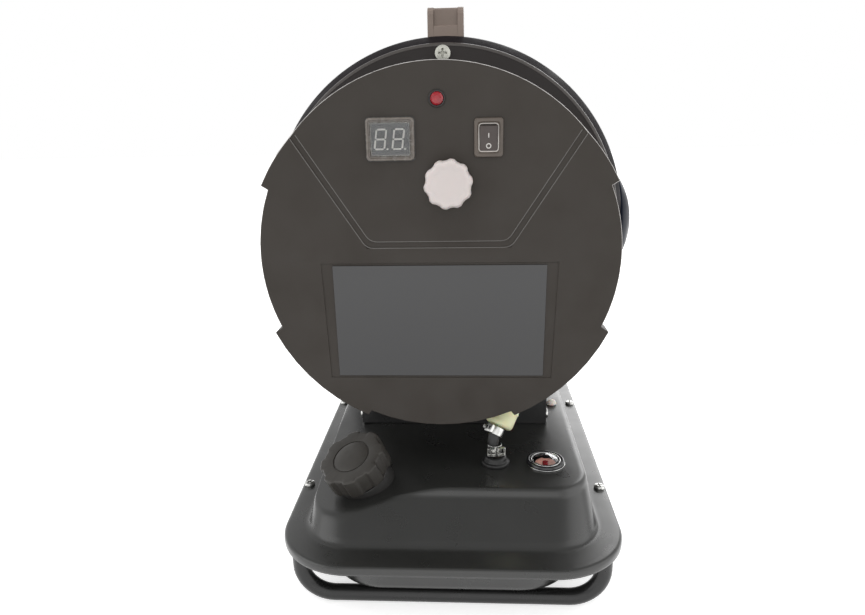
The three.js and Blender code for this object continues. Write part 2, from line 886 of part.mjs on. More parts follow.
const filler = new THREE.Group();
fillerPlace.decompose(filler.position, filler.quaternion, filler.scale);
tank.add(filler);
const neckTop = gap + neckHeight;
const strainerTop = neckTop + gap + strainerRimThickness;
const gasketTop = strainerTop + gap + gasketThickness;
const capCavity = neckRadius + neckThread + capClear;

function fillerNeck() {
  const inner = neckRadius - neckWall;
  const outer = neckRadius;
  const [seat, thread] = [gap + neckFlangeThickness, neckTop - 2 * neckThreadHeight];
  const tube = turnedZ([[0, -neckDepth], [outer, -neckDepth], [outer, thread], [outer + neckThread, thread],
    [outer + neckThread, thread + neckThreadHeight], [outer, thread + neckThreadHeight], [outer, neckTop],
    [0, neckTop]], 28);
  const onFacet = solidOf(aboveFacet(-gap).applyMatrix4(fillerPlace.clone().invert()));
  const collar = turnedZ(bar(neckFlange, -neckDepth, seat), 28).intersect(onFacet);
  return cut(join(tube, collar), turnedZ(bar(inner, -neckDepth - over, neckTop + over), 28));
}

function fillerStrainer() {
  const inner = strainerRadius - strainerWall;
  const floor = strainerTop - strainerDepth - strainerRimThickness;
  const cup = turnedZ([[0, floor], [strainerRadius, floor], [strainerRadius, neckTop + gap],
    [strainerRim, neckTop + gap], [strainerRim, strainerTop], [inner, strainerTop],
    [inner, floor + strainerWall], [0, floor + strainerWall]], 28);
  const slots = [];
  for (let i = 0; i < 3; i++) {
    const slot = new THREE.BoxGeometry(2 * (strainerRadius + over), strainerSlotWidth, strainerSlotHeight);
    slot.translate(0, 0, floor + strainerSlotHeight / 2 + 3 * strainerWall);
    slots.push(solidOf(slot.rotateZ(degrees(60 * i))));
  }
  return cut(cup, ...slots);
}

function fuelCap() {
  const low = gap + neckFlangeThickness + capSkirtGap;
  const roof = gasketTop + gap;
  const top = roof + capTop;
  const wide = capRadius + over;
  const bevelled = turnedZ([[0, low - over], [wide, low - over], [wide, top - capBevel - over],
    [capRadius - capBevel, top], [0, top]], 64);
  const body = slab(notchedPoints(capRadius, capLobe, capLobes, capNotchShares), low, top).intersect(bevelled);
  const sunk = top - capGrooveDepth;
  const groove = turnedZ(pipe(capButton, capButton + capGroove, sunk, top + over), 32);
  const { waist, waistRise } = capButtonShares;
  const button = turnedZ([[0, sunk - gap], [capButton, sunk - gap], [capButton, top],
    [capButton * waist, top + capButtonRise * waistRise], [0, top + capButtonRise]], 32);
  return cut(join(cut(body, groove), button), turnedZ(bar(capCavity, low - over, roof), 28));
}

piece("filler_neck", fillerNeck(), darkPlastic, filler);
piece("filler_strainer", fillerStrainer(), creamPlastic, filler);
const gasket = turnedZ(pipe(gasketInner, strainerRim, strainerTop + gap, gasketTop), 28);
piece("fuel_cap_gasket", gasket, blackRubber, filler);
piece("fuel_cap", fuelCap(), darkPlastic, filler);

// Fuel gauge: a float arm on a fork under the plateau turns the pointer under a lens

const gauge = new THREE.Group();
gauge.position.set(gaugeX, gaugeY, plateauTop);
tank.add(gauge);
const gaugeSeat = gap + gaugeFlange;
const wellFloor = gaugeSeat - gaugeWellDepth;
const stemEnd = -gaugeStemDepth;
const pivotZ = stemEnd - floatHub - gap;

function gaugeBody() {
  const crown = gaugeSeat + gaugeRing;
  const lensSeat = gaugeRadius - gaugeRingWidth;
  const body = turnedZ([[0, stemEnd], [gaugeStem, stemEnd], [gaugeStem, -gaugeBarrelDepth],
    [gaugeBarrel, -gaugeBarrelDepth], [gaugeBarrel, gap], [gaugeRadius, gap], [gaugeRadius, gaugeSeat],
    [gaugeRadius - gaugeRingWidth / 3, crown], [lensSeat, crown], [lensSeat, gaugeSeat],
    [gaugeWell, gaugeSeat], [gaugeWell, wellFloor], [0, wellFloor]], 28);
  const cheeks = [-1, 1].map((side) => {
    const [x0, x1] = [side * forkGap / 2, side * (forkGap / 2 + forkCheek)].sort((a, b) => a - b);
    return block(x0, x1, -floatHub, floatHub, stemEnd - forkLength + floatHub, stemEnd + over);
  });
  return cut(join(body, ...cheeks), turnedX(bar(pivotPin + gap, -gaugeRadius, gaugeRadius), 16, 0, pivotZ));
}

function gaugeFloat() {
  const hubHalf = forkGap / 2 - gap;
  const pinHalf = forkGap / 2 + forkCheek;
  return join(
    turnedX(bar(floatHub, -hubHalf, hubHalf), 14),
    turnedX(bar(pivotPin, -pinHalf, pinHalf), 10),
    turnedY(bar(floatArmWire, floatHub / 2, floatArm - floatRadius / 2), 10),
    turnedX(bar(floatRadius, -floatLength / 2, floatLength / 2), 20, floatArm),
  );
}

function gaugePointer() {
  const [low, high] = [wellFloor + gap, wellFloor + gap + pointerThickness];
  const half = pointerWidth / 2;
  const blade = slab([[-half, -pointerLength / 3], [half, -pointerLength / 3],
    [half / 2, (2 * pointerLength) / 3 - half], [-half / 2, (2 * pointerLength) / 3 - half]], low, high);
  return join(blade, turnedZ(bar(pointerHub, low, high + pointerThickness), 14));
}

function gaugeLens() {
  const [low, edge] = [gaugeSeat + gap, gaugeSeat + gap + lensThickness];
  const r = gaugeRadius - gaugeRingWidth - gap;
  const { rim, rimRise, crown, crownRise } = lensShares;
  return turnedZ([[0, low], [r, low], [r, edge - 2 * gap], [r * rim, edge + lensRise * rimRise],
    [r * crown, edge + lensRise * crownRise], [0, edge + lensRise]], 24);
}

piece("gauge_body", gaugeBody(), chrome, gauge);
piece("gauge_lens", gaugeLens(), clearPlastic, gauge);
piece("gauge_pointer", gaugePointer(), redPlastic, gauge).rotation.z = degrees(pointerRest);
const floatMesh = piece("gauge_float", gaugeFloat(), creamPlastic, gauge);
floatMesh.position.z = pivotZ;
floatMesh.rotation.x = -degrees(floatTilt);

// Fuel line: pickup tube, grommet, hose, filter, and a hose up to the pump

const grommetTopZ = plateauTop + gap + grommetRise;
const hoseBottom = grommetTopZ + gap;
const lean = new THREE.Vector3(Math.tan(degrees(hoseLean)), Math.tan(degrees(hoseLeanBack)), 1).normalize();
const bendAt = new THREE.Vector3(lineX, lineY, hoseBottom + hoseRise * hoseShares.bend);
const hoseEnd = bendAt.clone().addScaledVector(lean, hoseRise * hoseShares.fall);
const filterTurn = new THREE.Quaternion().setFromUnitVectors(new THREE.Vector3(0, 0, 1), lean);
const filterFoot = hoseEnd.clone().addScaledVector(lean, gap);
const filterEnd = filterFoot.clone().addScaledVector(lean, filterLength);
const pumpBottom = new THREE.Vector3(drumX + pumpX, coverFaceY + pumpRear + pumpLength / 2,
  drumHeight + shelfSeat);
const spigotEnd = filterEnd.clone().addScaledVector(lean, spigotLength);

function leaned(profile, sides) {
  const made = turned(profile, sides).rotateX(Math.PI / 2);
  return solidOf(made.applyQuaternion(filterTurn).translate(filterFoot.x, filterFoot.y, filterFoot.z));
}

const lowerHosePath = smoothPath([
  [lineX, lineY, hoseBottom],
  [lineX, lineY, hoseBottom + hoseRise * hoseShares.start],
  bendAt.toArray(),
  hoseEnd.toArray(),
]);
const upperStart = filterEnd.clone().addScaledVector(lean, gap);
const upperHosePath = smoothPath([
  upperStart.toArray(),
  spigotEnd.toArray(),
  spigotEnd.clone().addScaledVector(lean, spigotLength / 2).toArray(),
  pumpBottom.clone().add(new THREE.Vector3(0, -spigotLength / 2, -hoseShares.approach * spigotLength)).toArray(),
  pumpBottom.clone().add(new THREE.Vector3(0, 0, -spigotLength)).toArray(),
  pumpBottom.clone().add(new THREE.Vector3(0, 0, -2 * gap)).toArray(),
]);

function hoseClamp(ears) {
  const inner = hoseRadius + 2 * gap;
  const half = clampHeight / 2;
  const band = turned(pipe(inner, inner + clampBand, -half, half), 20).rotateX(Math.PI / 2);
  return join(solidOf(band), ...ears(inner, half));
}

function springEars(inner, half) {
  return [-1, 1].map((side) => {
    const [x0, x1] = [side * clampEarGap / 2, side * (clampEarGap / 2 + clampEarThickness)].sort((a, b) => a - b);
    return block(x0, x1, -inner - clampEar, -inner - clampBand / 4, -half, half);
  });
}

function wormScrew(inner, half) {
  const head = turnedX(bar(wormHeight / 2, -wormLength / 2 - clampBand, wormLength / 2), 16,
    -inner - wormHeight / 2, 0);
  const housing = block(-wormLength / 2 + clampBand, wormLength / 2 - clampBand, -inner - wormHeight,
    -inner - clampBand / 4, -half, half);
  return [housing, head];
}

function grommet() {
  const z = plateauTop + gap;
  const bore = pickupRadius + gap;
  return turnedZ([[bore, z - grommetDepth], [grommetNeck, z - grommetDepth], [grommetNeck, z],
    [grommetRadius, z], [grommetRadius, z + grommetRise * grommetStepShare], [grommetTop, z + grommetRise],
    [bore, z + grommetRise]], 24, lineX, lineY);
}

function pickupTube() {
  const low = panBottom + tankSheet + pickupFloorGap;
  const top = hoseBottom + hoseRise * hoseShares.top;
  return turnedZ(pipe(pickupRadius - pickupWall, pickupRadius, low, top), 14, lineX, lineY);
}

function filterBody() {
  const end = filterLength;
  const bore = spigotRadius - spigotWall;
  const inner = filterRadius - 2 * spigotWall;
  const start = -spigotLength * filterShares.start;
  const shell = [[bore, start], [spigotRadius, start], [spigotRadius, gap],
    [filterRadius * filterShares.shoulder, gap + spigotWall], [filterRadius, filterCone],
    [filterRadius, end - filterCone], [filterRadius * filterShares.crown, end - spigotWall],
    [spigotRadius, end], [spigotRadius, end + spigotLength], [bore, end + spigotLength],
    [bore, end - filterCone], [inner, end - filterCone - spigotWall], [inner, filterCone + spigotWall],
    [bore, filterCone]];
  return leaned(shell, 24);
}

piece("hose_grommet", grommet(), blackRubber, tank);
piece("pickup_tube", pickupTube(), brass, tank);
const hoseSolid = cut(sweep(lowerHosePath, hoseRadius, 12, 7), sweep(extended(lowerHosePath), hoseBore, 12, 7));
piece("fuel_hose", hoseSolid, blackRubber, tank);
const lowerClamp = piece("hose_clamp_lower", hoseClamp(springEars), brightSteel, tank);
lowerClamp.position.set(lineX, lineY, hoseBottom + clampStation - gap);
const upperClamp = piece("hose_clamp_upper", hoseClamp(wormScrew), brightSteel, tank);
upperClamp.position.copy(hoseEnd).addScaledVector(lean, -clampHeight / 2);
upperClamp.quaternion.copy(filterTurn);
piece("fuel_filter", filterBody(), creamPlastic, tank);
const pumpHoseSolid = cut(sweep(upperHosePath, hoseRadius, 8, 16),
  sweep(extended(upperHosePath), hoseBore, 8, 16));
piece("pump_hose", pumpHoseSolid, blackRubber, tank);

// The same path run on a little at both ends, for a bore that opens both ends of a hose
function extended(curve) {
  const start = curve.getPoint(0).addScaledVector(curve.getTangent(0), -over);
  const end = curve.getPoint(1).addScaledVector(curve.getTangent(1), over);
  return smoothPath([start.toArray(), ...curve.points.map((p) => p.toArray()), end.toArray()]);
}

const blankingPlug = turnedZ([[0, plateauTop - blankShankLength], [blankShank, plateauTop - blankShankLength],
  [blankShank, plateauTop + gap], [blankRadius, plateauTop + gap],
  [blankRadius * domeShares.rim, plateauTop + blankRadius * domeShares.rimRise],
  [blankRadius * domeShares.crown, plateauTop + blankRadius * domeShares.crownRise],
  [0, plateauTop + blankRadius]], 20, blankX, blankY);
piece("blanking_plug", blankingPlug, whitePlastic, tank);
const drainLow = panBottom - gap - drainHeadHeight;
const drainPlug = join(
  turnedZ(bar(drainHead, drainLow, panBottom - gap), 6, 0, drainY),
  turnedZ(bar(drainShank, panBottom - 2 * gap, panBottom + drainShankLength), 20, 0, drainY),
);
piece("drain_plug", drainPlug, brass, tank);

// Pedestal, in the tank's frame

// The drum's outer form with the gap round it, in the drum's frame
function drumEnvelope() {
  const hood = hoodRadius + gap;
  const rear = plateRadius + gap;
  return turnedY([[0, 0], [housingRadius + gap, 0], [housingRadius + gap, plateRear - gap],
    [rear, plateRear - gap], [rear, hoodRear + gap], [hood, hoodRear + hoodFlareLength],
    [hood, hoodFront + over], [0, hoodFront + over]], 48);
}

function pedestal() {
  const [x, s] = [pedestalHalfWidth, pedestalSheet];
  const [y0, y1] = [pedestalRear, pedestalRear + pedestalLength];
  const low = plateauTop + gap;
  const top = drumHeight;
  const saddleFront = coverFaceY + housingFront - gap;
  const ring = turnedY(pipe(housingRadius - over, housingRadius + gap + saddleThickness,
    pedestalRear - coverFaceY, saddleFront - coverFaceY), 48).translate(drumX - tankX, coverFaceY, drumHeight);
  const saddle = ring.intersect(block(-x, x, y0, saddleFront, low, top - housingRadius / 2));
  const walls = cut(block(-x, x, y0, y1, low, top - housingRadius / 2),
    block(s - x, x - s, y0 + s, y1 - s, low - over, top));
  const screwZ = plateauTop + sideScrewRise;
  const hole = turnedX(bar(sideScrewShank / 2 + gap, -x - over, x + over), 16, pedestalRear + sideScrewInset,
    screwZ);
  return cut(join(walls, saddle), drumEnvelope().translate(drumX - tankX, coverFaceY, drumHeight), hole);
}

piece("pedestal", pedestal(), framePaint, tank);
[-1, 1].forEach((side, i) => {
  const screw = panScrew(sideScrewHead, sideScrewHeadHeight, sideScrewShank, sideScrewLength);
  const mesh = piece(`pedestal_screw_${i + 1}`, screw, brightSteel, tank);
  const x = side * (pedestalHalfWidth + gap);
  mesh.position.set(x, pedestalRear + sideScrewInset, plateauTop + sideScrewRise);
  mesh.rotation.y = side * Math.PI / 2;
});

// Control cover

// The cover's radius at an angle from the top, the same on both sides
function coverRadius(angle) {
  const { flare, upper, lower, foot } = coverNotches;
  const t = Math.min(Math.max((angle - flare) / (upper - flare), 0), 1);
  if (angle < upper) return coverTopRadius + (coverFlareRadius - coverTopRadius) * t;
  if (angle < lower) return coverSideRadius;
  if (angle < foot) return coverLowRadius;
  return coverTopRadius;
}

function coverOutline(inset) {
  const { flare, upper, lower, foot, step } = coverNotches;
  const stops = [0, flare, upper - step, upper + step, lower - step, lower + step, foot - step, foot + step, 180];
  const half = [];
  for (let i = 0; i + 1 < stops.length; i++) {
    const steps = Math.max(1, Math.round((stops[i + 1] - stops[i]) / 6));
    for (let k = 0; k < steps; k++) half.push(stops[i] + ((stops[i + 1] - stops[i]) * k) / steps);
  }
  half.push(180);
  const at = (angle, side) => {
    const r = coverRadius(Math.abs(angle)) - inset;
    return [side * r * Math.sin(degrees(angle)), r * Math.cos(degrees(angle))];
  };
  const right = half.map((a) => at(a, 1));
  const left = half.slice(1, -1).reverse().map((a) => at(a, -1));
  return [...right, ...left].reverse();
}

// A band of even width along an open line of [x, z] points
function band(points, width) {
  const along = (a, b) => {
    const length = Math.hypot(b[0] - a[0], b[1] - a[1]);
    return [(b[0] - a[0]) / length, (b[1] - a[1]) / length];
  };
  const offset = (i, side) => {
    const before = along(points[Math.max(i - 1, 0)], points[Math.max(i, 1)]);
    const after = along(points[Math.min(i, points.length - 2)], points[Math.min(i + 1, points.length - 1)]);
    const normal = [-(before[1] + after[1]), before[0] + after[0]];
    const size = Math.hypot(...normal);
    const miter = (-before[1] * normal[0] + before[0] * normal[1]) / size;
    const reach = (side * width) / 2 / miter / size;
    return [points[i][0] + normal[0] * reach, points[i][1] + normal[1] * reach];
  };
  const forth = points.map((_, i) => offset(i, 1));
  const back = points.map((_, i) => offset(i, -1)).reverse();
  return [...forth, ...back];
}

function trapezoid(topX, topZ, footX, footZ) {
  return [[-topX, topZ], [-footX, footZ], [footX, footZ], [topX, topZ]];
}

function controlCover() {
  const shell = cut(
    plate(coverOutline(0), 0, coverRim),
    plate(coverOutline(coverWall), coverSheet, coverRim + over),
  );
  const groove = band(trapezoid(embossTopX, embossTopZ, embossFootX, embossFootZ), embossWidth);
  const pocket = trapezoid(pocketTopX, pocketTopZ, pocketFootX, pocketFootZ);
  return cut(
    shell,
    plate(groove, -over, embossDepth),
    plate(pocket, -over, pocketDepth),
    turnedY(bar(lampBezel - 2 * gap, -over, coverSheet + over), 20, lampX, lampZ),
    plate(roundedPoints(displayWidth - 4 * gap, displayHeight - 4 * gap, displayRound, 3), -over,
      coverSheet + over, displayX, displayZ),
    plate(roundedPoints(switchWidth - 4 * gap, switchHeight - 4 * gap, switchRound, 3), -over,
      coverSheet + over, switchX, switchZ),
    turnedY(bar(potBush + gap, -over, coverSheet + over), 20, knobX, knobZ),
  );
}

piece("control_cover", controlCover(), coverPaint, drum);
const labelTop = pocketTopZ - labelMargin;
const labelFoot = pocketFootZ + labelMargin;
const labelFace = pocketDepth - gap - labelThickness;
const label = plate(trapezoid(labelTopX, labelTop, labelFootX, labelFoot), labelFace, pocketDepth - gap);
piece("label_plate", label, labelFilm, drum);

// Devices on the cover

const bezelSeat = -gap;
const bezelBack = coverSheet + lampProud;
const lampBezelSolid = turnedY([[lampBore, -lampProud], [lampBezel - gap, -lampProud], [lampBezel, bezelSeat],
  [lampBezel - 3 * gap, bezelSeat], [lampBezel - 3 * gap, bezelBack], [lampBore, bezelBack]], 20, lampX, lampZ);
piece("lamp_bezel", lampBezelSolid, darkPlastic, drum);
const lens = lampBore - gap;
const lampSolid = turnedY([[0, -lampProud - lens * lampShares.tipRise],
  [lens * lampShares.tip, -lampProud - lens * lampShares.flankRise], [lens * lampShares.rim, -lampProud],
  [lens, -lampProud + lens * lampShares.rimDrop], [lens, bezelBack + gap], [lens + gap, bezelBack + gap],
  [lens + gap, lampDepth], [0, lampDepth]], 16, lampX, lampZ);
piece("warning_lamp", lampSolid, redPlastic, drum);

function displayHousing() {
  const hole = [digitsWidth + 2 * gap, digitsHeight + 2 * gap];
  const front = roundedPoints(displayWidth, displayHeight, displayRound, 3);
  const back = roundedPoints(displayWidth - 6 * gap, displayHeight - 6 * gap, displayRound, 3);
  const recess = roundedPoints(windowWidth + 2 * gap, windowHeight + 2 * gap, displayRound / 2, 3);
  return cut(
    join(plate(front, -displayProud, -gap, displayX, displayZ),
      plate(back, -2 * gap, displayDepth, displayX, displayZ)),
    plate(recess, -displayProud - over, -displayProud + windowSink + windowThickness + gap, displayX, displayZ),
    block(displayX - hole[0] / 2, displayX + hole[0] / 2, -displayProud, displayDepth + over,
      displayZ - hole[1] / 2, displayZ + hole[1] / 2),
  );
}

piece("display_housing", displayHousing(), darkPlastic, drum);
const windowFront = -displayProud + windowSink;
const windowSolid = plate(roundedPoints(windowWidth, windowHeight, displayRound / 2, 3), windowFront,
  windowFront + windowThickness, displayX, displayZ);
piece("display_window", windowSolid, clearPlastic, drum);
const digitsFront = windowFront + windowThickness + gap;
const digits = block(displayX - digitsWidth / 2, displayX + digitsWidth / 2, digitsFront, displayDepth,
  displayZ - digitsHeight / 2, displayZ + digitsHeight / 2);
piece("display_board", digits, darkPlastic, drum);

function rockerFrame() {
  const front = roundedPoints(switchWidth, switchHeight, switchRound, 3);
  const back = roundedPoints(switchWidth - 6 * gap, switchHeight - 6 * gap, switchRound, 3);
  return cut(
    join(plate(front, -switchProud, -gap, switchX, switchZ),
      plate(back, -2 * gap, switchDepth, switchX, switchZ)),
    block(switchX - wellWidth / 2, switchX + wellWidth / 2, -switchProud - over, wellDepth,
      switchZ - wellHeight / 2, switchZ + wellHeight / 2),
  );
}

// The rocker stands with its foot pressed in, which is off
function powerRocker() {
  const [h, b] = [rockerHeight / 2, rockerBackHeight / 2];
  const side = [[-rockerCrown, h], [rockerDip - rockerCrown, 0], [-rockerCrown, -h], [0, -h], [rockerBack, -b],
    [rockerBack, b], [0, h]];
  const body = profileX(side, -rockerWidth / 2, rockerWidth / 2);
  const pin = turnedX(bar(pivotPin, -wellWidth / 2 + gap, wellWidth / 2 - gap), 12);
  return join(body, pin);
}

piece("rocker_frame", rockerFrame(), darkPlastic, drum);
const rocker = piece("power_rocker", powerRocker(), darkPlastic, drum);
rocker.position.set(switchX, rockerPivotDepth, switchZ);
rocker.rotation.x = degrees(rockerTilt);

function thermostatKnob() {
  const front = -knobGap - knobHeight;
  const body = plate(lobedPoints(knobRadius, knobLobe, 10, 6), front + knobBevel, -knobGap, knobX, knobZ);
  const r = knobRadius - knobLobe;
  const crown = turnedY([[0, front], [r - knobBevel, front], [r, front + knobBevel], [r, front + 2 * knobBevel],
    [0, front + 2 * knobBevel]], 30, knobX, knobZ);
  const bore = bar(potShaft + gap, -potShaftProud - 2 * gap, over);
  const skirt = bar(potBush + 2 * gap, -knobGap - 3 * gap, over);
  return cut(join(body, crown), turnedY(bore, 16, knobX, knobZ), turnedY(skirt, 16, knobX, knobZ));
}

function thermostatPot() {
  const body = turnedY([[0, -potShaftProud], [potShaft, -potShaftProud], [potShaft, -gap], [potBush, -gap],
    [potBush, coverSheet + gap], [potRadius, coverSheet + gap], [potRadius, coverSheet + potLength],
    [0, coverSheet + potLength]], 20, knobX, knobZ);
  return body;
}

piece("thermostat_knob", thermostatKnob(), knobPlastic, drum);
piece("thermostat_body", thermostatPot(), brightSteel, drum);

// Control housing with its shelf and the motor spider

function controlHousing() {
  const [outer, inner] = [housingRadius, housingInner];
  const wallMiddle = housingRadius - housingWall / 2;
  const frontHole = burnerTubeRadius + gap;
  const shell = turnedY([[frontHole, housingFront - housingWall], [inner, housingFront - housingWall],
    [inner, housingRear], [outer, housingRear], [outer, housingFront], [frontHole, housingFront]], 48);
  const lugs = [45, 135, 225, 315].map((angle) => {
    const fromTop = Math.min(angle, 360 - angle);
    const reach = coverRadius(fromTop) - coverWall - gap;
    const box = new THREE.BoxGeometry(coverLugWidth, coverLugDepth, reach - wallMiddle);
    box.translate(0, housingRear + coverLugDepth / 2, (reach + wallMiddle) / 2 - gap);
    return solidOf(box.rotateY(degrees(angle)));
  });
  const shelfHalf = Math.sqrt(wallMiddle ** 2 - shelfDrop ** 2);
  const shelf = block(-shelfHalf, shelfHalf, shelfRear, shelfRear + shelfLength, shelfTop - housingWall,
    shelfTop);
  const ring = motorRadius + gap;
  const spider = turnedY(pipe(ring, ring + spiderWall, spiderRear, spiderRear + spiderLength), 32);
  const arms = [0, 90, 270].map((angle) => {
    const box = new THREE.BoxGeometry(spiderArm, spiderLength, wallMiddle - ring - spiderWall / 2);
    box.translate(0, spiderRear + spiderLength / 2, (wallMiddle + ring + spiderWall / 2) / 2);
    return solidOf(box.rotateY(degrees(angle)));
  });
  const hosePassage = sweep(upperHosePath, hoseRadius + 2 * gap, 8, 16)
    .translate(tankX - drumX, -coverFaceY, -drumHeight);
    const glandHole = turnedZ(bar(glandBarrel + gap, -housingRadius - over, shelfTop - over), 20, glandX,
      glandY);
  return cut(join(shell, ...lugs, shelf, spider, ...arms), hosePassage, glandHole);
}

// The copper pipe leaves the pump, runs below the fan and rises to the nozzle
const pumpZ = shelfSeat + pumpRadius;
const pumpFrontY = pumpRear + pumpLength + pumpNeckLength;
const fanFront = fanRear + fanLength;
const pipeClear = fanRadius + 3 * pipeRadius + 4 * gap;
const pipeLowX = pumpX;
const pipeLowZ = -Math.sqrt(pipeClear ** 2 - pipeLowX ** 2);
const pipeFrontY = fanFront + 4 * pipeRadius;
const pipePoints = [
  [pumpX, pumpFrontY + 2 * gap, pumpZ],
  [pumpX, pumpFrontY + 2 * pipeRadius, pumpZ],
  [pumpX, pumpFrontY + 5 * pipeRadius, (2 * pumpZ + pipeLowZ) / 3],
  [pipeLowX, fanRear - 3 * pipeRadius, pipeLowZ + pipeRadius],
  [pipeLowX, (fanRear + fanFront) / 2, pipeLowZ],
  [pipeLowX * pipeShares.lowX, fanFront + pipeRadius, pipeLowZ * pipeShares.lowZ],
  [pipeLowX * pipeShares.midX, pipeFrontY, pipeLowZ * pipeShares.midZ],
  [0, pipeFrontY + pipeRadius, -nozzleRadius * 2],
  [0, pipeFrontY + pipeRadius, -nozzleRadius * pipeShares.foot],
  [0, pipeFrontY + pipeRadius, -nozzleRadius - 2 * gap],
];

piece("control_housing", controlHousing(), framePaint, drum);
piece("nozzle_pipe", sweep(smoothPath(pipePoints), pipeRadius, 6, 28), copper, drum);

function fanMotor() {
  const front = motorRear + motorLength;
  const bore = bar(shaftRadius + gap, front - motorBossLength * 2, front + motorBossLength + over);
  return cut(turnedY([[0, motorRear], [motorRadius * (1 - motorRoundShare), motorRear],
    [motorRadius, motorRear + motorRadius * motorRoundShare], [motorRadius, front], [motorBoss, front],
    [motorBoss, front + motorBossLength], [0, front + motorBossLength]], 28), turnedY(bore, 16));
}

const shaftRear = motorRear + motorLength - motorBossLength * 2 + gap;
const shaftFlat = shaftRadius * shaftFlatShare;

function motorShaft() {
  const rod = turnedY(bar(shaftRadius, shaftRear, shaftRear + shaftLength), 16);
  const front = shaftRear + shaftLength;
  return cut(rod, block(-shaftRadius, shaftRadius, fanRear - gap, front + over, shaftFlat, shaftRadius + over));
}

function fanWheel() {
  const hubBore = cut(turnedY(bar(shaftRadius + gap, fanRear - over, fanFront + over), 16),
    block(-fanHub, fanHub, fanRear - 2 * over, fanFront + 2 * over, shaftFlat + gap, fanHub));
  const blades = [];
  for (let i = 0; i < 7; i++) {
    const blade = new THREE.BoxGeometry(fanBlade, fanLength / Math.cos(degrees(fanPitch)) - fanBlade,
      fanRadius - fanHub / 2);
    blade.rotateZ(degrees(fanPitch)).translate(0, (fanRear + fanFront) / 2, (fanRadius + fanHub / 2) / 2);
    blades.push(solidOf(blade.rotateY((2 * Math.PI * i) / 7)));
  }
  const rim = turnedY(bar(fanRadius, fanRear, fanFront), 48);
  const hub = turnedY(bar(fanHub, fanRear, fanFront), 28);
  return cut(join(hub, join(...blades).intersect(rim)), hubBore);
}

piece("fan_motor", fanMotor(), stainless, drum);
piece("motor_shaft", motorShaft(), brightSteel, drum);
piece("fan_wheel", fanWheel(), stainless, drum);

function fuelPump() {
  const rear = pumpRear;
  const front = pumpRear + pumpLength;
  const body = turnedY([[0, rear], [pumpRadius * (1 - pumpConeShare), rear],
    [pumpRadius, rear + pumpRadius * pumpConeShare], [pumpRadius, front], [pumpNeck, front],
    [pumpNeck, front + pumpNeckLength], [0, front + pumpNeckLength]], 20, pumpX, pumpZ);
  return body;
}

function ignitionCoil() {
  const [x0, x1] = [coilLeft, coilLeft + coilWidth];
  const [y0, y1] = [coilRear, coilRear + coilLength];
  const z = shelfSeat;
  const wallSide = Math.sqrt((housingInner - 2 * gap) ** 2 - (shelfDrop - coilFoot) ** 2);
  const foot = block(Math.max(x0 - coilFoot, -wallSide), x1 + coilFoot, y0 + coilFoot, y1 - coilFoot, z,
    z + coilFoot / 2);
  const posts = coilPostShares.map((share) => turnedZ(bar(coilFoot, z + coilHeight - gap,
    z + coilHeight + 2 * coilFoot), 16, x0 + coilWidth * share, (y0 + y1) / 2));
  return join(block(x0, x1, y0, y1, z, z + coilHeight), foot, ...posts);
}

function controlBoard() {
  const [x0, y0] = [boardLeft, boardRear];
  const [x1, y1] = [boardLeft + boardWidth, boardRear + boardLength];
  const low = shelfSeat + boardStandoff;
  const top = low + boardThickness;
  const posts = [];
  for (const x of [x0 + boardPost, x1 - boardPost]) {
    for (const y of [y0 + boardPost, y1 - boardPost]) {
      posts.push(turnedZ(bar(boardPost, shelfSeat, low + gap), 12, x, y));
    }
  }
  const relays = [0, 1].map((i) => {
    const x = x0 + boardPost + i * (relayWidth + boardPost);
    return block(x, x + relayWidth, y0 + 2 * boardPost, y0 + 2 * boardPost + relayLength, top - gap,
      top + relayHeight);
  });
  const can = turnedZ(bar(relayHeight / 2, top - gap, top + relayHeight), 20, x1 - relayWidth, (y0 + y1) / 2);
  return join(block(x0, x1, y0, y1, low, top), ...posts, ...relays, can);
}

function cableGland() {
  const seat = -Math.sqrt(housingRadius ** 2 - (Math.abs(glandX) - glandHex) ** 2) - gap;
  const body = join(
    turnedZ(bar(glandHex, seat - glandHexHeight, seat), 6, glandX, glandY),
    turnedZ(bar(glandBarrel, seat - gap, seat + glandBarrelHeight * glandReachShare), 12, glandX, glandY),
    turnedZ(bar(glandBarrel, seat - glandHexHeight - glandBarrelHeight / 2, seat - glandHexHeight + gap), 12,
      glandX, glandY),
  );
  const bore = bar(glandBore, seat - glandBarrelHeight * 2, seat + glandBarrelHeight * 2);
  return cut(body, turnedZ(bore, 12, glandX, glandY));
}

piece("fuel_pump", fuelPump(), brightSteel, drum);
piece("ignition_transformer", ignitionCoil(), darkPlastic, drum);
piece("control_board", controlBoard(), boardGreen, drum);
piece("cable_gland", cableGland(), blackRubber, drum);

// Burner

const tubeFront = burnerTubeRear + burnerTubeLength;
const diffuserRear = tubeFront - diffuserSetback;

function burnerTube() {
  const [outer, inner] = [burnerTubeRadius, burnerTubeRadius - burnerTubeWall];
  const centre = nozzleRadius + gap;
  const shell = turnedY([[inner, burnerTubeRear], [outer, burnerTubeRear], [outer, tubeFront],
    [inner, tubeFront], [inner, diffuserRear], [centre, diffuserRear], [centre, diffuserRear - burnerTubeWall],
    [inner, diffuserRear - burnerTubeWall]], 28);
  const holes = [];
  for (let i = 0; i < 6; i++) {
    const a = degrees(60 * i + 30);
    const r = (inner + centre) / 2;
    const hole = bar(nozzleRadius * nozzleShares.hole, diffuserRear - over, diffuserRear + over);
    holes.push(turnedY(hole, 8, r * Math.sin(a), r * Math.cos(a)));
  }
  const rods = [-1, 1].map((side) => turnedY(bar(electrodeRadius + gap, diffuserRear - over,
    diffuserRear + over), 10, side * electrodeHalfSpan, electrodeRise));
  return cut(shell, ...holes, ...rods);
}

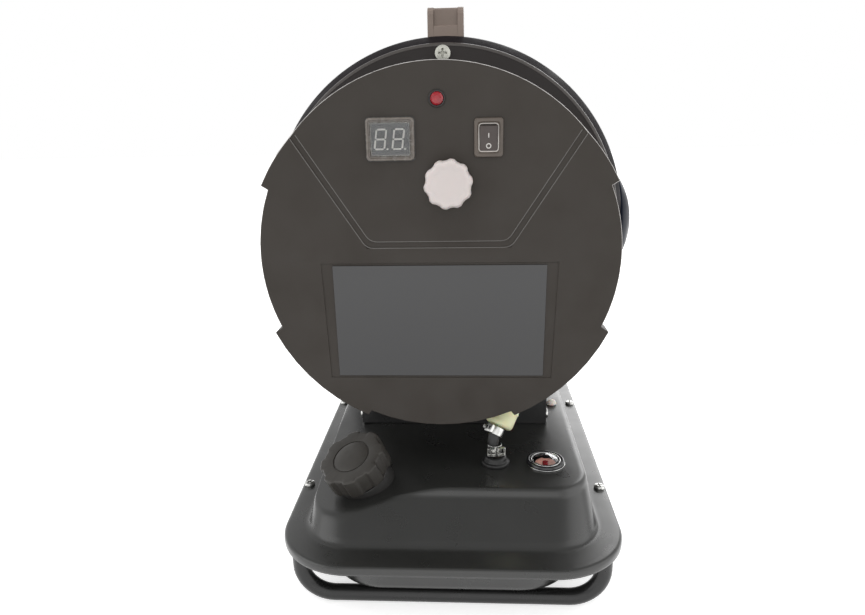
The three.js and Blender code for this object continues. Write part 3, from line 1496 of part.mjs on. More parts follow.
function burnerNozzle() {
  const front = nozzleRear + nozzleLength;
  return turnedY([[0, nozzleRear], [nozzleRadius, nozzleRear], [nozzleRadius, front],
    [nozzleTip * nozzleShares.shoulder, front], [nozzleTip, front + nozzleTipLength],
    [0, front + nozzleTipLength]], 20);
}

function electrodePair() {
  const front = electrodeRear + electrodeLength;
  const rods = [-1, 1].map((side) =>
    turnedY(bar(electrodeRadius, electrodeRear, front), 10, side * electrodeHalfSpan, electrodeRise));
  const half = electrodeHalfSpan + 2 * electrodeRadius;
  const clip = block(-half, half, electrodeRear + electrodeClip, electrodeRear + 2 * electrodeClip,
    nozzleRadius + gap, electrodeRise + 2 * electrodeRadius);
  return join(clip, ...rods);
}

function combustionChamber() {
  const [outer, inner, hole] = [chamberRadius, chamberRadius - chamberWall, burnerTubeRadius + gap];
  return turnedY([[hole, chamberRear], [outer, chamberRear], [outer, chamberFront], [inner, chamberFront],
    [inner, chamberRear + chamberWall], [hole, chamberRear + chamberWall]], 40);
}

function radiantDish() {
  const r = chamberRadius - chamberWall - gap;
  const t = dishSheet;
  const seat = chamberFront + gap;
  const rim = seat + dishRim;
  const top = rim + dishRise;
  const share = dishShares;
  const outside = [[r, seat - dishSkirt], [r, seat], [dishRadius, rim],
    [dishRadius * share.flank, rim + dishRise * share.flankRise],
    [dishRadius * share.crown, rim + dishRise * share.crownRise], [0, top]];
  const inside = [[0, top - t],
    [dishRadius * share.crown, rim + dishRise * share.crownRise - t * share.wallCrown],
    [dishRadius * share.flank - t, rim + dishRise * share.flankRise - t * share.wallFlank],
    [dishRadius - 2 * t, rim], [r - t, seat + t], [r - t, seat - dishSkirt]];
  const holes = [];
  for (let i = 0; i < 8; i++) {
    const a = degrees(45 * i);
    const hole = bar(dishHole, seat, top + over);
    holes.push(turnedY(hole, 8, dishHoleRing * Math.sin(a), dishHoleRing * Math.cos(a)));
  }
  return cut(turnedY([...outside, ...inside], 32), ...holes);
}

function reflectorCone() {
  const [inner, outer, t] = [chamberRadius + gap, hoodRadius - hoodWall - gap, reflectorWall];
  const rear = chamberRear;
  return turnedY([[inner, rear], [inner + t, rear], [outer, reflectorFront - reflectorLip],
    [outer, reflectorFront], [outer - t, reflectorFront], [outer - t, reflectorFront - reflectorLip],
    [inner, rear + t]], 48);
}

piece("burner_tube", burnerTube(), stainless, drum);
piece("burner_nozzle", burnerNozzle(), brass, drum);
piece("electrode_pair", electrodePair(), whitePlastic, drum);
piece("combustion_chamber", combustionChamber(), stainless, drum);
piece("radiant_dish", radiantDish(), stainless, drum);
piece("reflector", reflectorCone(), polished, drum);

// Hood

function hoodRearPlate() {
  const hole = burnerTubeRadius + gap;
  const screwHole = bar(hoodScrewShank / 2 + gap, plateRear - over, hoodRear + over);
  return cut(
    turnedY(pipe(hole, plateRadius, plateRear, plateRear + plateThickness), 48),
    turnedY(screwHole, 16, 0, hoodScrewZ),
  );
}

function frontHood() {
  const t = hoodWall;
  const neck = plateRadius - t;
  const flareFront = hoodRear + hoodFlareLength;
  const lipInner = hoodRadius - hoodLip;
  const shell = turnedY([[hoodFlangeInner, hoodRear], [plateRadius, hoodRear], [hoodRadius, flareFront],
    [hoodRadius, hoodFront], [lipInner, hoodFront], [lipInner, hoodFront - t], [hoodRadius - t, hoodFront - t],
    [hoodRadius - t, flareFront], [neck, hoodRear + t], [hoodFlangeInner, hoodRear + t]], 48);
  const screwHole = bar(hoodScrewShank / 2 + gap, plateRear - over, hoodRear + t + over);
  return cut(shell, turnedY(screwHole, 16, 0, hoodScrewZ));
}

function frontGuard() {
  const outer = hoodRadius - hoodWall - gap - guardWire;
  const y = hoodFront - hoodWall - gap - guardWire;
  const rings = [48, 28, 20, 12].map((sides, i) => {
    const radius = outer - i * guardRingStep;
    const wire = i ? guardSpoke : guardWire;
    return turnedY([[radius, y - wire], [radius + wire, y], [radius, y + wire], [radius - wire, y]], sides);
  });
  const innermost = outer - 3 * guardRingStep;
  const spokes = [];
  for (let i = 0; i < 4; i++) {
    const rod = new THREE.CylinderGeometry(guardSpoke, guardSpoke, outer - innermost, 4);
    rod.rotateX(Math.PI / 2).translate(0, y, (outer + innermost) / 2);
    spokes.push(solidOf(rod.rotateY(degrees(90 * i))));
  }
  return join(...rings, ...spokes);
}

function carryHandle() {
  const [y0, y1] = [handleRear, handleRear + handleLength];
  const base = hoodRadius - handleWidth / 8;
  const [end, top] = [hoodRadius + handleEndRise, hoodRadius + handleRise];
  const under = top - handleGrip;
  const r = handleRound;
  const side = [[y0, base], [y0, end - r / 2], [y0 + r / 4, end - r / 8], [y0 + r, end + r / 8],
    [y0 + handleLength / 4, top], [y1 - handleLength / 4, top], [y1 - r, end + r / 8],
    [y1 - r / 4, end - r / 8], [y1, end - r / 2], [y1, base]];
  const inner = [[y0 + handlePost, base - over], [y0 + handlePost, under - r],
    [y0 + handlePost + r / 2, under - r / 4], [y0 + handlePost + r, under], [y1 - handlePost - r, under],
    [y1 - handlePost - r / 2, under - r / 4], [y1 - handlePost, under - r], [y1 - handlePost, base - over]];
  const half = handleWidth / 2;
  const groove = handleGroove / 2;
  const body = cut(profileX(side.reverse(), -half, half), profileX(inner.reverse(), -half - over, half + over),
    block(-groove, groove, y0 - over, y0 + handleGrooveDepth, hoodRadius + handleRise * handleGrooveShare,
    end + over));
  return cut(body.translate(handleX, 0, 0), turnedY(bar(hoodRadius + gap, y0 - over, y1 + over), 48));
}

function sideDome() {
  const sphere = (domeRadius ** 2 + domeRise ** 2) / (2 * domeRise);
  const top = hoodRadius + domeRise;
  const dome = (inset) => {
    const points = [[0, hoodRadius / 2], [domeRadius - inset, hoodRadius / 2]];
    for (let i = 0; i <= 4; i++) {
      const r = (domeRadius - inset) * (1 - i / 4);
      points.push([r, top - sphere + Math.sqrt(sphere ** 2 - r ** 2) - inset]);
    }
    return turnedX(points, 32, domeY, domeZ);
  };
  const hood = turnedY(bar(hoodRadius + gap, hoodRear, hoodFront + over), 48);
  return cut(dome(0), dome(domeWall), hood);
}

piece("hood_rear_plate", hoodRearPlate(), coverPaint, drum);
piece("front_hood", frontHood(), coverPaint, drum);
piece("front_guard", frontGuard(), chrome, drum);
piece("carry_handle", carryHandle(), handlePlastic, drum);
piece("side_dome_cover", sideDome(), darkPlastic, drum);
const hoodScrew = panScrew(hoodScrewHead, hoodScrewHeadHeight, hoodScrewShank, hoodScrewLength);
const hoodScrewMesh = piece("hood_screw", hoodScrew, brightSteel, drum);
hoodScrewMesh.position.set(0, plateRear - gap, hoodScrewZ);
hoodScrewMesh.rotation.x = Math.PI / 2;

export default heater;
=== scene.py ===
# Looks of a portable infrared diesel heater: a round burner drum on a pedestal above a pressed fuel tank.
# Metres, +Z up. The drum's control cover faces -Y and its radiant dish faces +Y.
import json
import math

import bmesh
import bpy
from mathutils import Matrix, Vector


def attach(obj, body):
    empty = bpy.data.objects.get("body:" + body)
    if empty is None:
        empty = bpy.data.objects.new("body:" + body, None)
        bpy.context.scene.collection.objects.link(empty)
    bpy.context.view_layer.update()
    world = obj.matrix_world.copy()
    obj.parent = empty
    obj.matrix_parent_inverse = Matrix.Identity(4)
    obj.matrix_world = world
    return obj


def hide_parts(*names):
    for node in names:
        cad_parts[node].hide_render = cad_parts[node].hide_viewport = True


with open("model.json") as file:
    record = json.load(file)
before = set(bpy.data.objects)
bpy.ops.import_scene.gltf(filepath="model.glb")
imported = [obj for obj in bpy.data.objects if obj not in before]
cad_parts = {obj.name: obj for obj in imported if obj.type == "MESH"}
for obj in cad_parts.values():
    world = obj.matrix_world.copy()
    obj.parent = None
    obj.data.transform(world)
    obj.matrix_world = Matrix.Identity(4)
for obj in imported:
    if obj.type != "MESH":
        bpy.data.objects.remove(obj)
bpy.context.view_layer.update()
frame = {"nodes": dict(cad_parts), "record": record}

MM = 0.001


def box_of(node):
    """The low and high corners of a CAD node's box, in millimetres."""
    spots = [v.co / MM for v in frame["nodes"][node].data.vertices]
    return [Vector([pick(spot[axis] for spot in spots) for axis in range(3)]) for pick in (min, max)]


def middle_of(node):
    low, high = box_of(node)
    return (low + high) / 2


DRUM_X, _, DRUM_Z = middle_of("control_cover")
FACE_Y = box_of("control_cover")[0].y
PLATEAU_Z = 79.0
FLANGE_Z = 49.0
NODE_SLOT = {entry["node"]: entry["material_slot"] for entry in frame["record"]["subparts"]}
NODE_BODY = {node: body for body, nodes in frame["record"]["behaviour"]["bodies"].items()
             for node in nodes}
JOINTS = {joint["name"]: joint for joint in frame["record"]["behaviour"]["joints"]}


# Camera

PHOTO_WIDTH, PHOTO_HEIGHT = 865, 615
FOCAL_PIXELS = 680
OPTICAL_CENTRE = (428.0, 322.2)
SENSOR_WIDTH = 36
CAMERA_SPOT = (0.0128, -0.58563, 0.34426)
CAMERA_YAW, CAMERA_PITCH, CAMERA_ROLL = -3.492, 16.939, -1.17


def photo_camera():
    """A 28 mm view from a little above the drum's middle, close to the control cover."""
    yaw, pitch, roll = (math.radians(a) for a in (CAMERA_YAW, CAMERA_PITCH, CAMERA_ROLL))
    forward = Vector((math.sin(yaw) * math.cos(pitch), math.cos(yaw) * math.cos(pitch), -math.sin(pitch)))
    level = Vector((math.cos(yaw), -math.sin(yaw), 0))
    rise = level.cross(forward)
    right = level * math.cos(roll) + rise * math.sin(roll)
    up = rise * math.cos(roll) - level * math.sin(roll)
    turn = Matrix((right, up, -forward)).transposed()
    data = bpy.data.cameras.new("photo_camera")
    data.sensor_width = SENSOR_WIDTH
    data.lens = FOCAL_PIXELS / PHOTO_WIDTH * SENSOR_WIDTH
    data.shift_x = (PHOTO_WIDTH / 2 - OPTICAL_CENTRE[0]) / PHOTO_WIDTH
    data.shift_y = (OPTICAL_CENTRE[1] - PHOTO_HEIGHT / 2) / PHOTO_WIDTH
    data.clip_start = 0.02
    camera = bpy.data.objects.new("photo_camera", data)
    camera.matrix_world = Matrix.Translation(CAMERA_SPOT) @ turn.to_4x4()
    bpy.context.collection.objects.link(camera)
    bpy.context.scene.camera = camera


# Finishes

def new_finish(name):
    material = bpy.data.materials.new(name)
    material.use_nodes = True
    return material, material.node_tree.nodes, material.node_tree.links


def noise(nodes, links, scale, detail=3.0):
    """A noise in object space, scale in features per metre."""
    texture = nodes.new("ShaderNodeTexNoise")
    texture.inputs["Scale"].default_value = scale
    texture.inputs["Detail"].default_value = detail
    links.new(nodes.new("ShaderNodeTexCoord").outputs["Object"], texture.inputs["Vector"])
    return texture.outputs["Fac"]


def spread(nodes, links, value, low, high, start=0.3, end=0.7):
    """Maps the middle of a noise onto a range."""
    span = nodes.new("ShaderNodeMapRange")
    span.inputs["From Min"].default_value = start
    span.inputs["From Max"].default_value = end
    span.inputs["To Min"].default_value = low
    span.inputs["To Max"].default_value = high
    links.new(value, span.inputs["Value"])
    return span.outputs["Result"]


def finish(name, colour, rough, metal=0.0, shift=0.12, patch=14.0, grain=1500, relief=0.01, coat=0.0,
           coat_rough=0.06, tint=None, clear=0.0, ior=1.5, soft=0.0, edge_wear_and_highlight=0.0, specular=0.5):
    """A painted, plated or moulded surface: patches of tone, uneven gloss and a fine relief, and where
    asked, sharp edges lightened: a painted highlight, partly wear.
    """
    material, nodes, links = new_finish(name)
    shader = nodes["Principled BSDF"]
    shader.inputs["Metallic"].default_value = metal
    shader.inputs["IOR"].default_value = ior
    shader.inputs["Coat Weight"].default_value = coat
    shader.inputs["Coat Roughness"].default_value = coat_rough
    shader.inputs["Specular IOR Level"].default_value = specular
    shader.inputs["Transmission Weight"].default_value = clear
    shader.inputs["Subsurface Weight"].default_value = soft
    shader.inputs["Subsurface Scale"].default_value = 0.004
    tone = nodes.new("ShaderNodeMix")
    tone.data_type = "RGBA"
    dark = tint if tint else [c * (1 - shift) for c in colour]
    tone.inputs["A"].default_value = (*dark, 1)
    tone.inputs["B"].default_value = (*[min(c * (1 + shift), 1) for c in colour], 1)
    links.new(spread(nodes, links, noise(nodes, links, patch, 4), 0, 1), tone.inputs["Factor"])
    shown = tone.outputs["Result"]
    # Painted highlight, partly wear: pointy edges are lightened towards a paler colour, standing in for the
    # light that rounded edges catch.
    if edge_wear_and_highlight:
        edge = nodes.new("ShaderNodeNewGeometry").outputs["Pointiness"]
        rubbed_and_lit = nodes.new("ShaderNodeMix")
        rubbed_and_lit.data_type = "RGBA"
        rubbed_and_lit.inputs["B"].default_value = (*[min(c * 2.2 + 0.05, 1) for c in colour], 1)
        links.new(spread(nodes, links, edge, 0, edge_wear_and_highlight, 0.52, 0.62), rubbed_and_lit.inputs["Factor"])
        links.new(shown, rubbed_and_lit.inputs["A"])
        shown = rubbed_and_lit.outputs["Result"]
    links.new(shown, shader.inputs["Base Color"])
    gloss = spread(nodes, links, noise(nodes, links, patch * 3, 5), rough * 0.8, rough * 1.25)
    links.new(gloss, shader.inputs["Roughness"])
    bump = nodes.new("ShaderNodeBump")
    bump.inputs["Strength"].default_value = 1.0
    bump.inputs["Distance"].default_value = relief * MM
    links.new(noise(nodes, links, grain, 3), bump.inputs["Height"])
    links.new(bump.outputs["Normal"], shader.inputs["Normal"])
    return material


FINISHES = {
    # The tank paint, frame paint and grip lighten their edges: painted highlight, partly wear.
    "tank_paint": finish("satin_black_paint", (0.019, 0.0192, 0.018), 0.3, shift=0.06, grain=260,
                         relief=0.006, coat=0.35, coat_rough=0.24, edge_wear_and_highlight=0.5),
    "cover_paint": finish("satin_grey_paint", (0.038, 0.0325, 0.0275), 0.5, shift=0.05,
                          relief=0.03, specular=0.25),
    "frame_paint": finish("black_frame_paint", (0.012, 0.012, 0.012), 0.3, grain=500,
                          relief=0.02, edge_wear_and_highlight=0.3),
    "zinc_steel": finish("zinc_plate", (0.62, 0.62, 0.60), 0.28, metal=1, shift=0.1, patch=60, grain=2500),
    "gauge_chrome": finish("bright_chrome", (0.72, 0.72, 0.71), 0.07, metal=1, shift=0.04,
                           grain=700, relief=0.004),
    "heat_steel": finish("heat_tinted_steel", (0.46, 0.43, 0.40), 0.32, metal=1, patch=9,
                         tint=(0.32, 0.24, 0.18), grain=1800),
    "reflector_steel": finish("polished_reflector", (0.72, 0.72, 0.70), 0.2, metal=1, shift=0.04, patch=7,
                              grain=900, relief=0.002),
    "brass": finish("plain_brass", (0.60, 0.44, 0.19), 0.3, metal=1, patch=80, grain=2200),
    "copper": finish("copper_pipe", (0.62, 0.32, 0.19), 0.34, metal=1, patch=50, grain=1800),
    "black_plastic": finish("black_moulding", (0.020, 0.019, 0.018), 0.45, grain=2600, relief=0.03),
    "cap_plastic": finish("dark_cap_moulding", (0.036, 0.033, 0.029), 0.4, patch=60, grain=2400,
                          relief=0.03, specular=0.35),
    "handle_plastic": finish("taupe_grip", (0.170, 0.131, 0.108), 0.5, grain=1900, relief=0.05, edge_wear_and_highlight=0.3),
    "knob_plastic": finish("pale_knob", (0.65, 0.59, 0.57), 0.38, shift=0.03, patch=40, grain=1400,
                           relief=0.02, soft=0.05),
    "cream_plastic": finish("cream_nylon", (0.86, 0.86, 0.55), 0.35, shift=0.05, patch=90, grain=1400,
                            relief=0.02, soft=0.3),
    "white_plastic": finish("white_nylon", (0.95, 0.87, 0.79), 0.4, shift=0.04, patch=90, grain=1400,
                            relief=0.02, soft=0.2),
    "clear_plastic": finish("clear_acrylic", (0.92, 0.94, 0.94), 0.04, shift=0.02, grain=500,
                            relief=0.003, clear=1, ior=1.46),
    "red_plastic": finish("red_lens", (0.30, 0.004, 0.012), 0.15, shift=0.15, patch=300, grain=900,
                          relief=0.02, coat=0.25),
    "ceramic": finish("glazed_ceramic", (0.80, 0.77, 0.71), 0.2, shift=0.05, patch=70, grain=1200),
    "black_rubber": finish("black_rubber", (0.012, 0.012, 0.012), 0.4, patch=50, grain=1600, relief=0.05),
    "label_film": finish("gloss_label_film", (0.004, 0.004, 0.005), 0.12, patch=10, grain=90, relief=0.03,
                         coat=0.35, coat_rough=0.1),
    "board_green": finish("board_green", (0.02, 0.12, 0.05), 0.35, shift=0.3, patch=300, relief=0.03),
}
MARK_WHITE = finish("switch_mark_white", (0.62, 0.60, 0.57), 0.5)
SEGMENT_GREY = finish("unlit_segment", (0.50, 0.47, 0.44), 0.4, shift=0.06, patch=200)
DIAL_FACE = finish("dial_red", (0.74, 0.36, 0.29), 0.4, shift=0.35, patch=90)
# Painted shade: a darker copy of the cover's paint for the hood, which shares the cover's paint slot.
SHADED_HOOD_PAINT = finish("hood_paint_painted_shade", (0.012, 0.0102, 0.0115), 0.5, shift=0.04, patch=9,
                    relief=0.02, specular=0.06)
# Painted shade: a darker copy of the cover's paint for the back plate behind the cover.
SHADED_PLATE_PAINT = finish("back_plate_painted_shade", (0.030, 0.0265, 0.0255), 0.5, shift=0.05, patch=9,
                     relief=0.02, specular=0.15)
DOME_PAINT = finish("navy_cap", (0.004, 0.006, 0.013), 0.35, shift=0.1, grain=700,
                    relief=0.006, specular=0.05)
# Painted highlight for the bead along the cover's edge.
EDGE_HIGHLIGHT_GREY = finish("painted_edge_highlight", (0.50, 0.48, 0.465), 0.3, shift=0.15, patch=60)
# Painted highlight for the groove's two edges.
CREASE_HIGHLIGHT_GREY = finish("lit_crease", (0.115, 0.108, 0.100), 0.35, patch=40)
# Painted highlight: lighter than the plate and hood, for the line of light along the plate's rolled rim.
SEAM_HIGHLIGHT_BROWN = finish("rolled_seam_highlight", (0.050, 0.043, 0.039), 0.4, shift=0.1, patch=30)
GLOSS_BLACK = finish("gloss_black_ring", (0.006, 0.006, 0.007), 0.12, grain=900, relief=0.004, coat=0.4)
SMOKY_BEZEL = finish("smoky_bezel", (0.130, 0.112, 0.095), 0.26, patch=120, coat=0.3)
SWITCH_BROWN = finish("brown_switch_frame", (0.088, 0.070, 0.056), 0.34, shift=0.14, patch=90,
                      grain=1900, relief=0.02)
ROCKER_BROWN = finish("dark_brown_rocker", (0.046, 0.034, 0.030), 0.4, shift=0.1, patch=90,
                      grain=1900, relief=0.02)
SCREW_GREY = finish("matt_zinc_screw", (0.50, 0.50, 0.45), 0.5, metal=0.5, shift=0.08,
                    patch=90, grain=2200)


# Mesh tools

def along_y(node="control_cover"):
    """Places a shape turned about Z over a CAD node, its axis along +Y from the cover's face."""
    middle = middle_of(node)
    spot = Vector((middle.x, FACE_Y, middle.z)) * MM
    return Matrix.Translation(spot) @ Matrix.Rotation(math.radians(-90), 4, "X")


def upright(x, y, z):
    return Matrix.Translation(Vector((x, y, z)) * MM)


def on_tank(node, z=PLATEAU_Z):
    """Places an upright shape over a CAD node, at a height on the tank."""
    middle = middle_of(node)
    return upright(middle.x, middle.y, z)


def pointing(x, y, z, direction):
    """Places a shape's +Z along a direction, at a spot in millimetres."""
    turn = Vector(direction).to_track_quat("Z", "Y").to_matrix().to_4x4()
    return upright(x, y, z) @ turn


def facing(node, proud):
    """Places a flat shape drawn in XY over a CAD node, its +Z towards -Y, proud of the cover's face."""
    middle = middle_of(node)
    spot = Vector((middle.x, FACE_Y - proud, middle.z)) * MM
    return Matrix.Translation(spot) @ Matrix.Rotation(math.radians(90), 4, "X")


def turned(profile, steps=96, closed=False):
    """A shape turned about Z from (radius, height, rounding) corners in millimetres."""
    bm = bmesh.new()
    corners = [bm.verts.new((r * MM, 0, h * MM)) for r, h, _ in profile]
    for a, b in zip(corners, corners[1:]):
        bm.edges.new((a, b))
    if closed:
        bm.edges.new((corners[-1], corners[0]))
    for corner, (_, _, rounding) in zip(corners, profile):
        if rounding:
            bmesh.ops.bevel(bm, geom=[corner], offset=rounding * MM, affect="VERTICES", segments=4,
                            profile=0.5, material=-1)
    bmesh.ops.spin(bm, geom=bm.verts[:] + bm.edges[:], axis=(0, 0, 1), cent=(0, 0, 0), angle=2 * math.pi,
                   steps=steps, use_merge=True)
    settle(bm)
    return bm


def settle(bm):
    """Closes seams and poles, then turns every face outwards."""
    bmesh.ops.remove_doubles(bm, verts=bm.verts, dist=2e-6)
    bmesh.ops.recalc_face_normals(bm, faces=bm.faces)


def scalloped(bm, lobes, depth, inner, low=0.0, high=1.0):
    """Pulls a turned shape's outer wall in between its lobes; low and high set how broad they are."""
    for v in bm.verts:
        radius = math.hypot(v.co.x, v.co.y)
        if radius > inner * MM:
            angle = math.atan2(v.co.y, v.co.x)
            way = min(max((0.5 - 0.5 * math.cos(lobes * angle) - low) / (high - low), 0), 1)
            share = (radius - depth * MM * way * way * (3 - 2 * way)) / radius
            v.co.x *= share
            v.co.y *= share
    return bm


def block(low, high, rounding=0.6, segments=3):
    """A box from its low corner to its high corner in millimetres, with rounded edges."""
    bm = bmesh.new()
    size = [(b - a) * MM for a, b in zip(low, high)]
    middle = Vector([(a + b) / 2 * MM for a, b in zip(low, high)])
    bmesh.ops.create_cube(bm, size=1, matrix=Matrix.Translation(middle) @ Matrix.Diagonal((*size, 1)))
    if rounding:
        bmesh.ops.bevel(bm, geom=bm.edges[:], offset=rounding * MM, affect="EDGES", segments=segments,
                        profile=0.5, material=-1)
    return bm


def rounded_sheet(width, height, corner):
    """A flat face of width by height with rounded corners, in the XY plane."""
    bm = bmesh.new()
    bmesh.ops.create_grid(bm, x_segments=1, y_segments=1, size=0.5)
    bmesh.ops.scale(bm, vec=(width * MM, height * MM, 1), verts=bm.verts)
    bmesh.ops.bevel(bm, geom=bm.verts[:], offset=corner * MM, affect="VERTICES", segments=8,
                    profile=0.5, material=-1)
    return bm


def thick_sheet(width, height, corner, depth, rounding):
    """A rounded sheet raised by depth, its front edge rounded."""
    bm = rounded_sheet(width, height, corner)
    raised = bmesh.ops.extrude_face_region(bm, geom=bm.faces[:])["geom"]
    top = [v for v in raised if isinstance(v, bmesh.types.BMVert)]
    bmesh.ops.translate(bm, vec=(0, 0, depth * MM), verts=top)
    settle(bm)
    edges = [e for e in bm.edges if all(v.co.z > depth * MM * 0.5 for v in e.verts)]
    bmesh.ops.bevel(bm, geom=edges, offset=rounding * MM, affect="EDGES", segments=3,
                    profile=0.5, material=-1)
    return bm


def slab(points, x0, x1):
    """A flat shape of y and z in millimetres, made solid from x0 to x1."""
    bm = bmesh.new()
    corners = [bm.verts.new((x0 * MM, y * MM, z * MM)) for y, z in points]
    edges = [bm.edges.new(pair) for pair in zip(corners, corners[1:] + corners[:1])]
    bmesh.ops.edgeloop_fill(bm, edges=edges)
    raised = bmesh.ops.extrude_face_region(bm, geom=bm.faces[:])["geom"]
    bmesh.ops.translate(bm, vec=((x1 - x0) * MM, 0, 0), verts=[g for g in raised
                                                               if isinstance(g, bmesh.types.BMVert)])
    bmesh.ops.recalc_face_normals(bm, faces=bm.faces)
    return bm


def merge(bm, other, place=None):
    """Adds another shape to this one."""
    if place:
        bmesh.ops.transform(other, matrix=place, verts=other.verts)
    carrier = bpy.data.meshes.new("carrier")
    other.to_mesh(carrier)
    other.free()
    bm.from_mesh(carrier)
    bpy.data.meshes.remove(carrier)
    return bm


def piece(name, bm, slot, body="heater", stands_for=(), place=None, material=None, crease=32, wall=0.0):
    """Makes a shape a finished object that rides on a body of the frame."""
    if place:
        bmesh.ops.transform(bm, matrix=place, verts=bm.verts)
    mesh = bpy.data.meshes.new(name)
    bm.to_mesh(mesh)
    bm.free()
    mesh.shade_smooth()
    mesh.set_sharp_from_angle(angle=math.radians(crease))
    made = bpy.data.objects.new(name, mesh)
    made.data.materials.append(material or FINISHES[slot])
    bpy.context.collection.objects.link(made)
    if wall:
        sheet = made.modifiers.new("sheet", "SOLIDIFY")
        sheet.thickness = wall * MM
        sheet.offset = -1
    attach(made, body)
    if stands_for:
        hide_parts(*stands_for)
    return made


def ring_piece(name, profile, slot, nodes=(), steps=144, material=None, place=None):
    """A still part turned from (radius, height, rounding), about the drum's axis unless it has a place."""
    return piece(name, turned(profile, steps, True), slot, "heater", nodes, place or along_y(), material)


def soften(made, rounding, crease=30):
    """Rounds a piece's hard edges."""
    bevel = made.modifiers.new("eased_edges", "BEVEL")
    bevel.width = rounding * MM
    bevel.segments = 2
    bevel.limit_method = "ANGLE"
    bevel.angle_limit = math.radians(crease)
    bevel.harden_normals = True
    bevel.use_clamp_overlap = True


def eased(node, rounding, crease, reshape=None):
    """A copy of a CAD node with its seams merged and its hard edges eased."""
    bm = bmesh.new()
    bm.from_mesh(frame["nodes"][node].data)
    bmesh.ops.remove_doubles(bm, verts=bm.verts, dist=2e-6)
    bmesh.ops.dissolve_limit(bm, angle_limit=math.radians(1.5), verts=bm.verts, edges=bm.edges)
    if reshape:
        reshape(bm)
    made = piece("eased_" + node, bm, NODE_SLOT[node], NODE_BODY[node], [node], crease=crease)
    soften(made, rounding, crease)


def swept(path, radius, sides=20, closed=False):
    """A round bar through points in millimetres: one ring extruded and turned from point to point."""
    spots = [Vector(p) * MM for p in path]
    count = len(spots)

    def heading(i):
        before = spots[(i - 1) % count] if closed else spots[max(i - 1, 0)]
        after = spots[(i + 1) % count] if closed else spots[min(i + 1, count - 1)]
        return (after - before).normalized()

    bm = bmesh.new()
    start = Matrix.Translation(spots[0]) @ heading(0).to_track_quat("Z", "Y").to_matrix().to_4x4()
    bmesh.ops.create_circle(bm, segments=sides, radius=radius * MM, matrix=start, cap_ends=False)
    ring = bm.edges[:]
    first = ring
    for i in range(1, count):
        new = bmesh.ops.extrude_edge_only(bm, edges=ring)["geom"]
        verts = {g for g in new if isinstance(g, bmesh.types.BMVert)}
        ring = [g for g in new if isinstance(g, bmesh.types.BMEdge) and verts.issuperset(g.verts)]
        turn = heading(i - 1).rotation_difference(heading(i)).to_matrix()
        bmesh.ops.rotate(bm, cent=spots[i - 1], matrix=turn, verts=list(verts))
        bmesh.ops.translate(bm, vec=spots[i] - spots[i - 1], verts=list(verts))
    if closed:
        bmesh.ops.bridge_loops(bm, edges=first + ring)
    else:
        bmesh.ops.edgeloop_fill(bm, edges=first)
        bmesh.ops.edgeloop_fill(bm, edges=ring)
    bmesh.ops.recalc_face_normals(bm, faces=bm.faces)
    return bm


def arc(centre, radius, start, end, steps, plane="xz"):
    """Points of an arc in degrees, in a plane square to Y or to Z."""
    points = []
    for i in range(steps + 1):
        a = math.radians(start + (end - start) * i / steps)
        if plane == "xz":
            points.append((centre[0] + radius * math.cos(a), centre[1], centre[2] + radius * math.sin(a)))
        else:
            points.append((centre[0] + radius * math.cos(a), centre[1] + radius * math.sin(a), centre[2]))
    return points


def pressed(levels, height_at=None):
    """A grid drawn out into rounded rectangles, one (width, length, corner, height) a ring."""
    rings = len(levels) - 1
    bm = bmesh.new()
    bmesh.ops.create_grid(bm, x_segments=2 * rings, y_segments=2 * rings, size=1)
    for v in bm.verts:
        u, w = v.co.x, v.co.y
        ring = round(max(abs(u), abs(w)) * rings)
        width, length, corner, height = levels[ring]
        side_on = abs(u) >= abs(w)
        near, along = (u, w) if side_on else (w, u)
        half, run = (width / 2, length / 2) if side_on else (length / 2, width / 2)
        straight = run - corner
        way = abs(along / near) * (straight + corner * math.pi / 4) if near else 0
        if way <= straight:
            out, over = half, way
        else:
            bend = (way - straight) / corner
            out, over = half - corner + corner * math.cos(bend), straight + corner * math.sin(bend)
        out, over = math.copysign(out, near), math.copysign(over, along)
        x, y = (out, over) if side_on else (over, out)
        z = height_at(x, y, height) if height_at else height
        v.co = (x * MM, y * MM, z * MM)
    bmesh.ops.recalc_face_normals(bm, faces=bm.faces)
    return bm


def levels_between(low, high, steps):
    return [tuple(a + (b - a) * i / steps for a, b in zip(low, high)) for i in range(steps)]


def screw_head(head, height, reach=4.6):
    """A pan head with a cross recess, its seat at the origin; reach is the cross's, in grid cells."""
    bm = bmesh.new()
    cells = 7
    bmesh.ops.create_grid(bm, x_segments=2 * cells, y_segments=2 * cells, size=1)
    arms = []
    for f in bm.faces:
        near, far = sorted(abs(way) * cells for way in f.calc_center_median().xy)
        if near < 1 and far < reach:
            arms.append(f)
    for v in bm.verts:
        u, w = v.co.x, v.co.y
        x, y = u * math.sqrt(1 - w * w / 2), w * math.sqrt(1 - u * u / 2)
        out = min(math.hypot(x, y), 1)
        crown = height * (0.55 + 0.45 * math.sqrt(1 - out ** 4))
        v.co = (x * head / 2 * MM, y * head / 2 * MM, crown * MM)
    rim = [e for e in bm.edges if e.is_boundary]
    sunk = bmesh.ops.extrude_face_region(bm, geom=arms)["geom"]
    floor = [g for g in sunk if isinstance(g, bmesh.types.BMVert)]
    bmesh.ops.delete(bm, geom=arms, context="FACES_ONLY")
    bmesh.ops.translate(bm, vec=(0, 0, -0.7 * height * MM), verts=floor)
    bmesh.ops.scale(bm, vec=(0.85, 0.85, 1), verts=floor)
    skirt = bmesh.ops.extrude_edge_only(bm, edges=rim)["geom"]
    for g in skirt:
        if isinstance(g, bmesh.types.BMVert):
            g.co.z = 0
    bmesh.ops.edgeloop_fill(bm, edges=[e for e in bm.edges if e.is_boundary])
    bmesh.ops.recalc_face_normals(bm, faces=bm.faces)
    return bm


# Tank

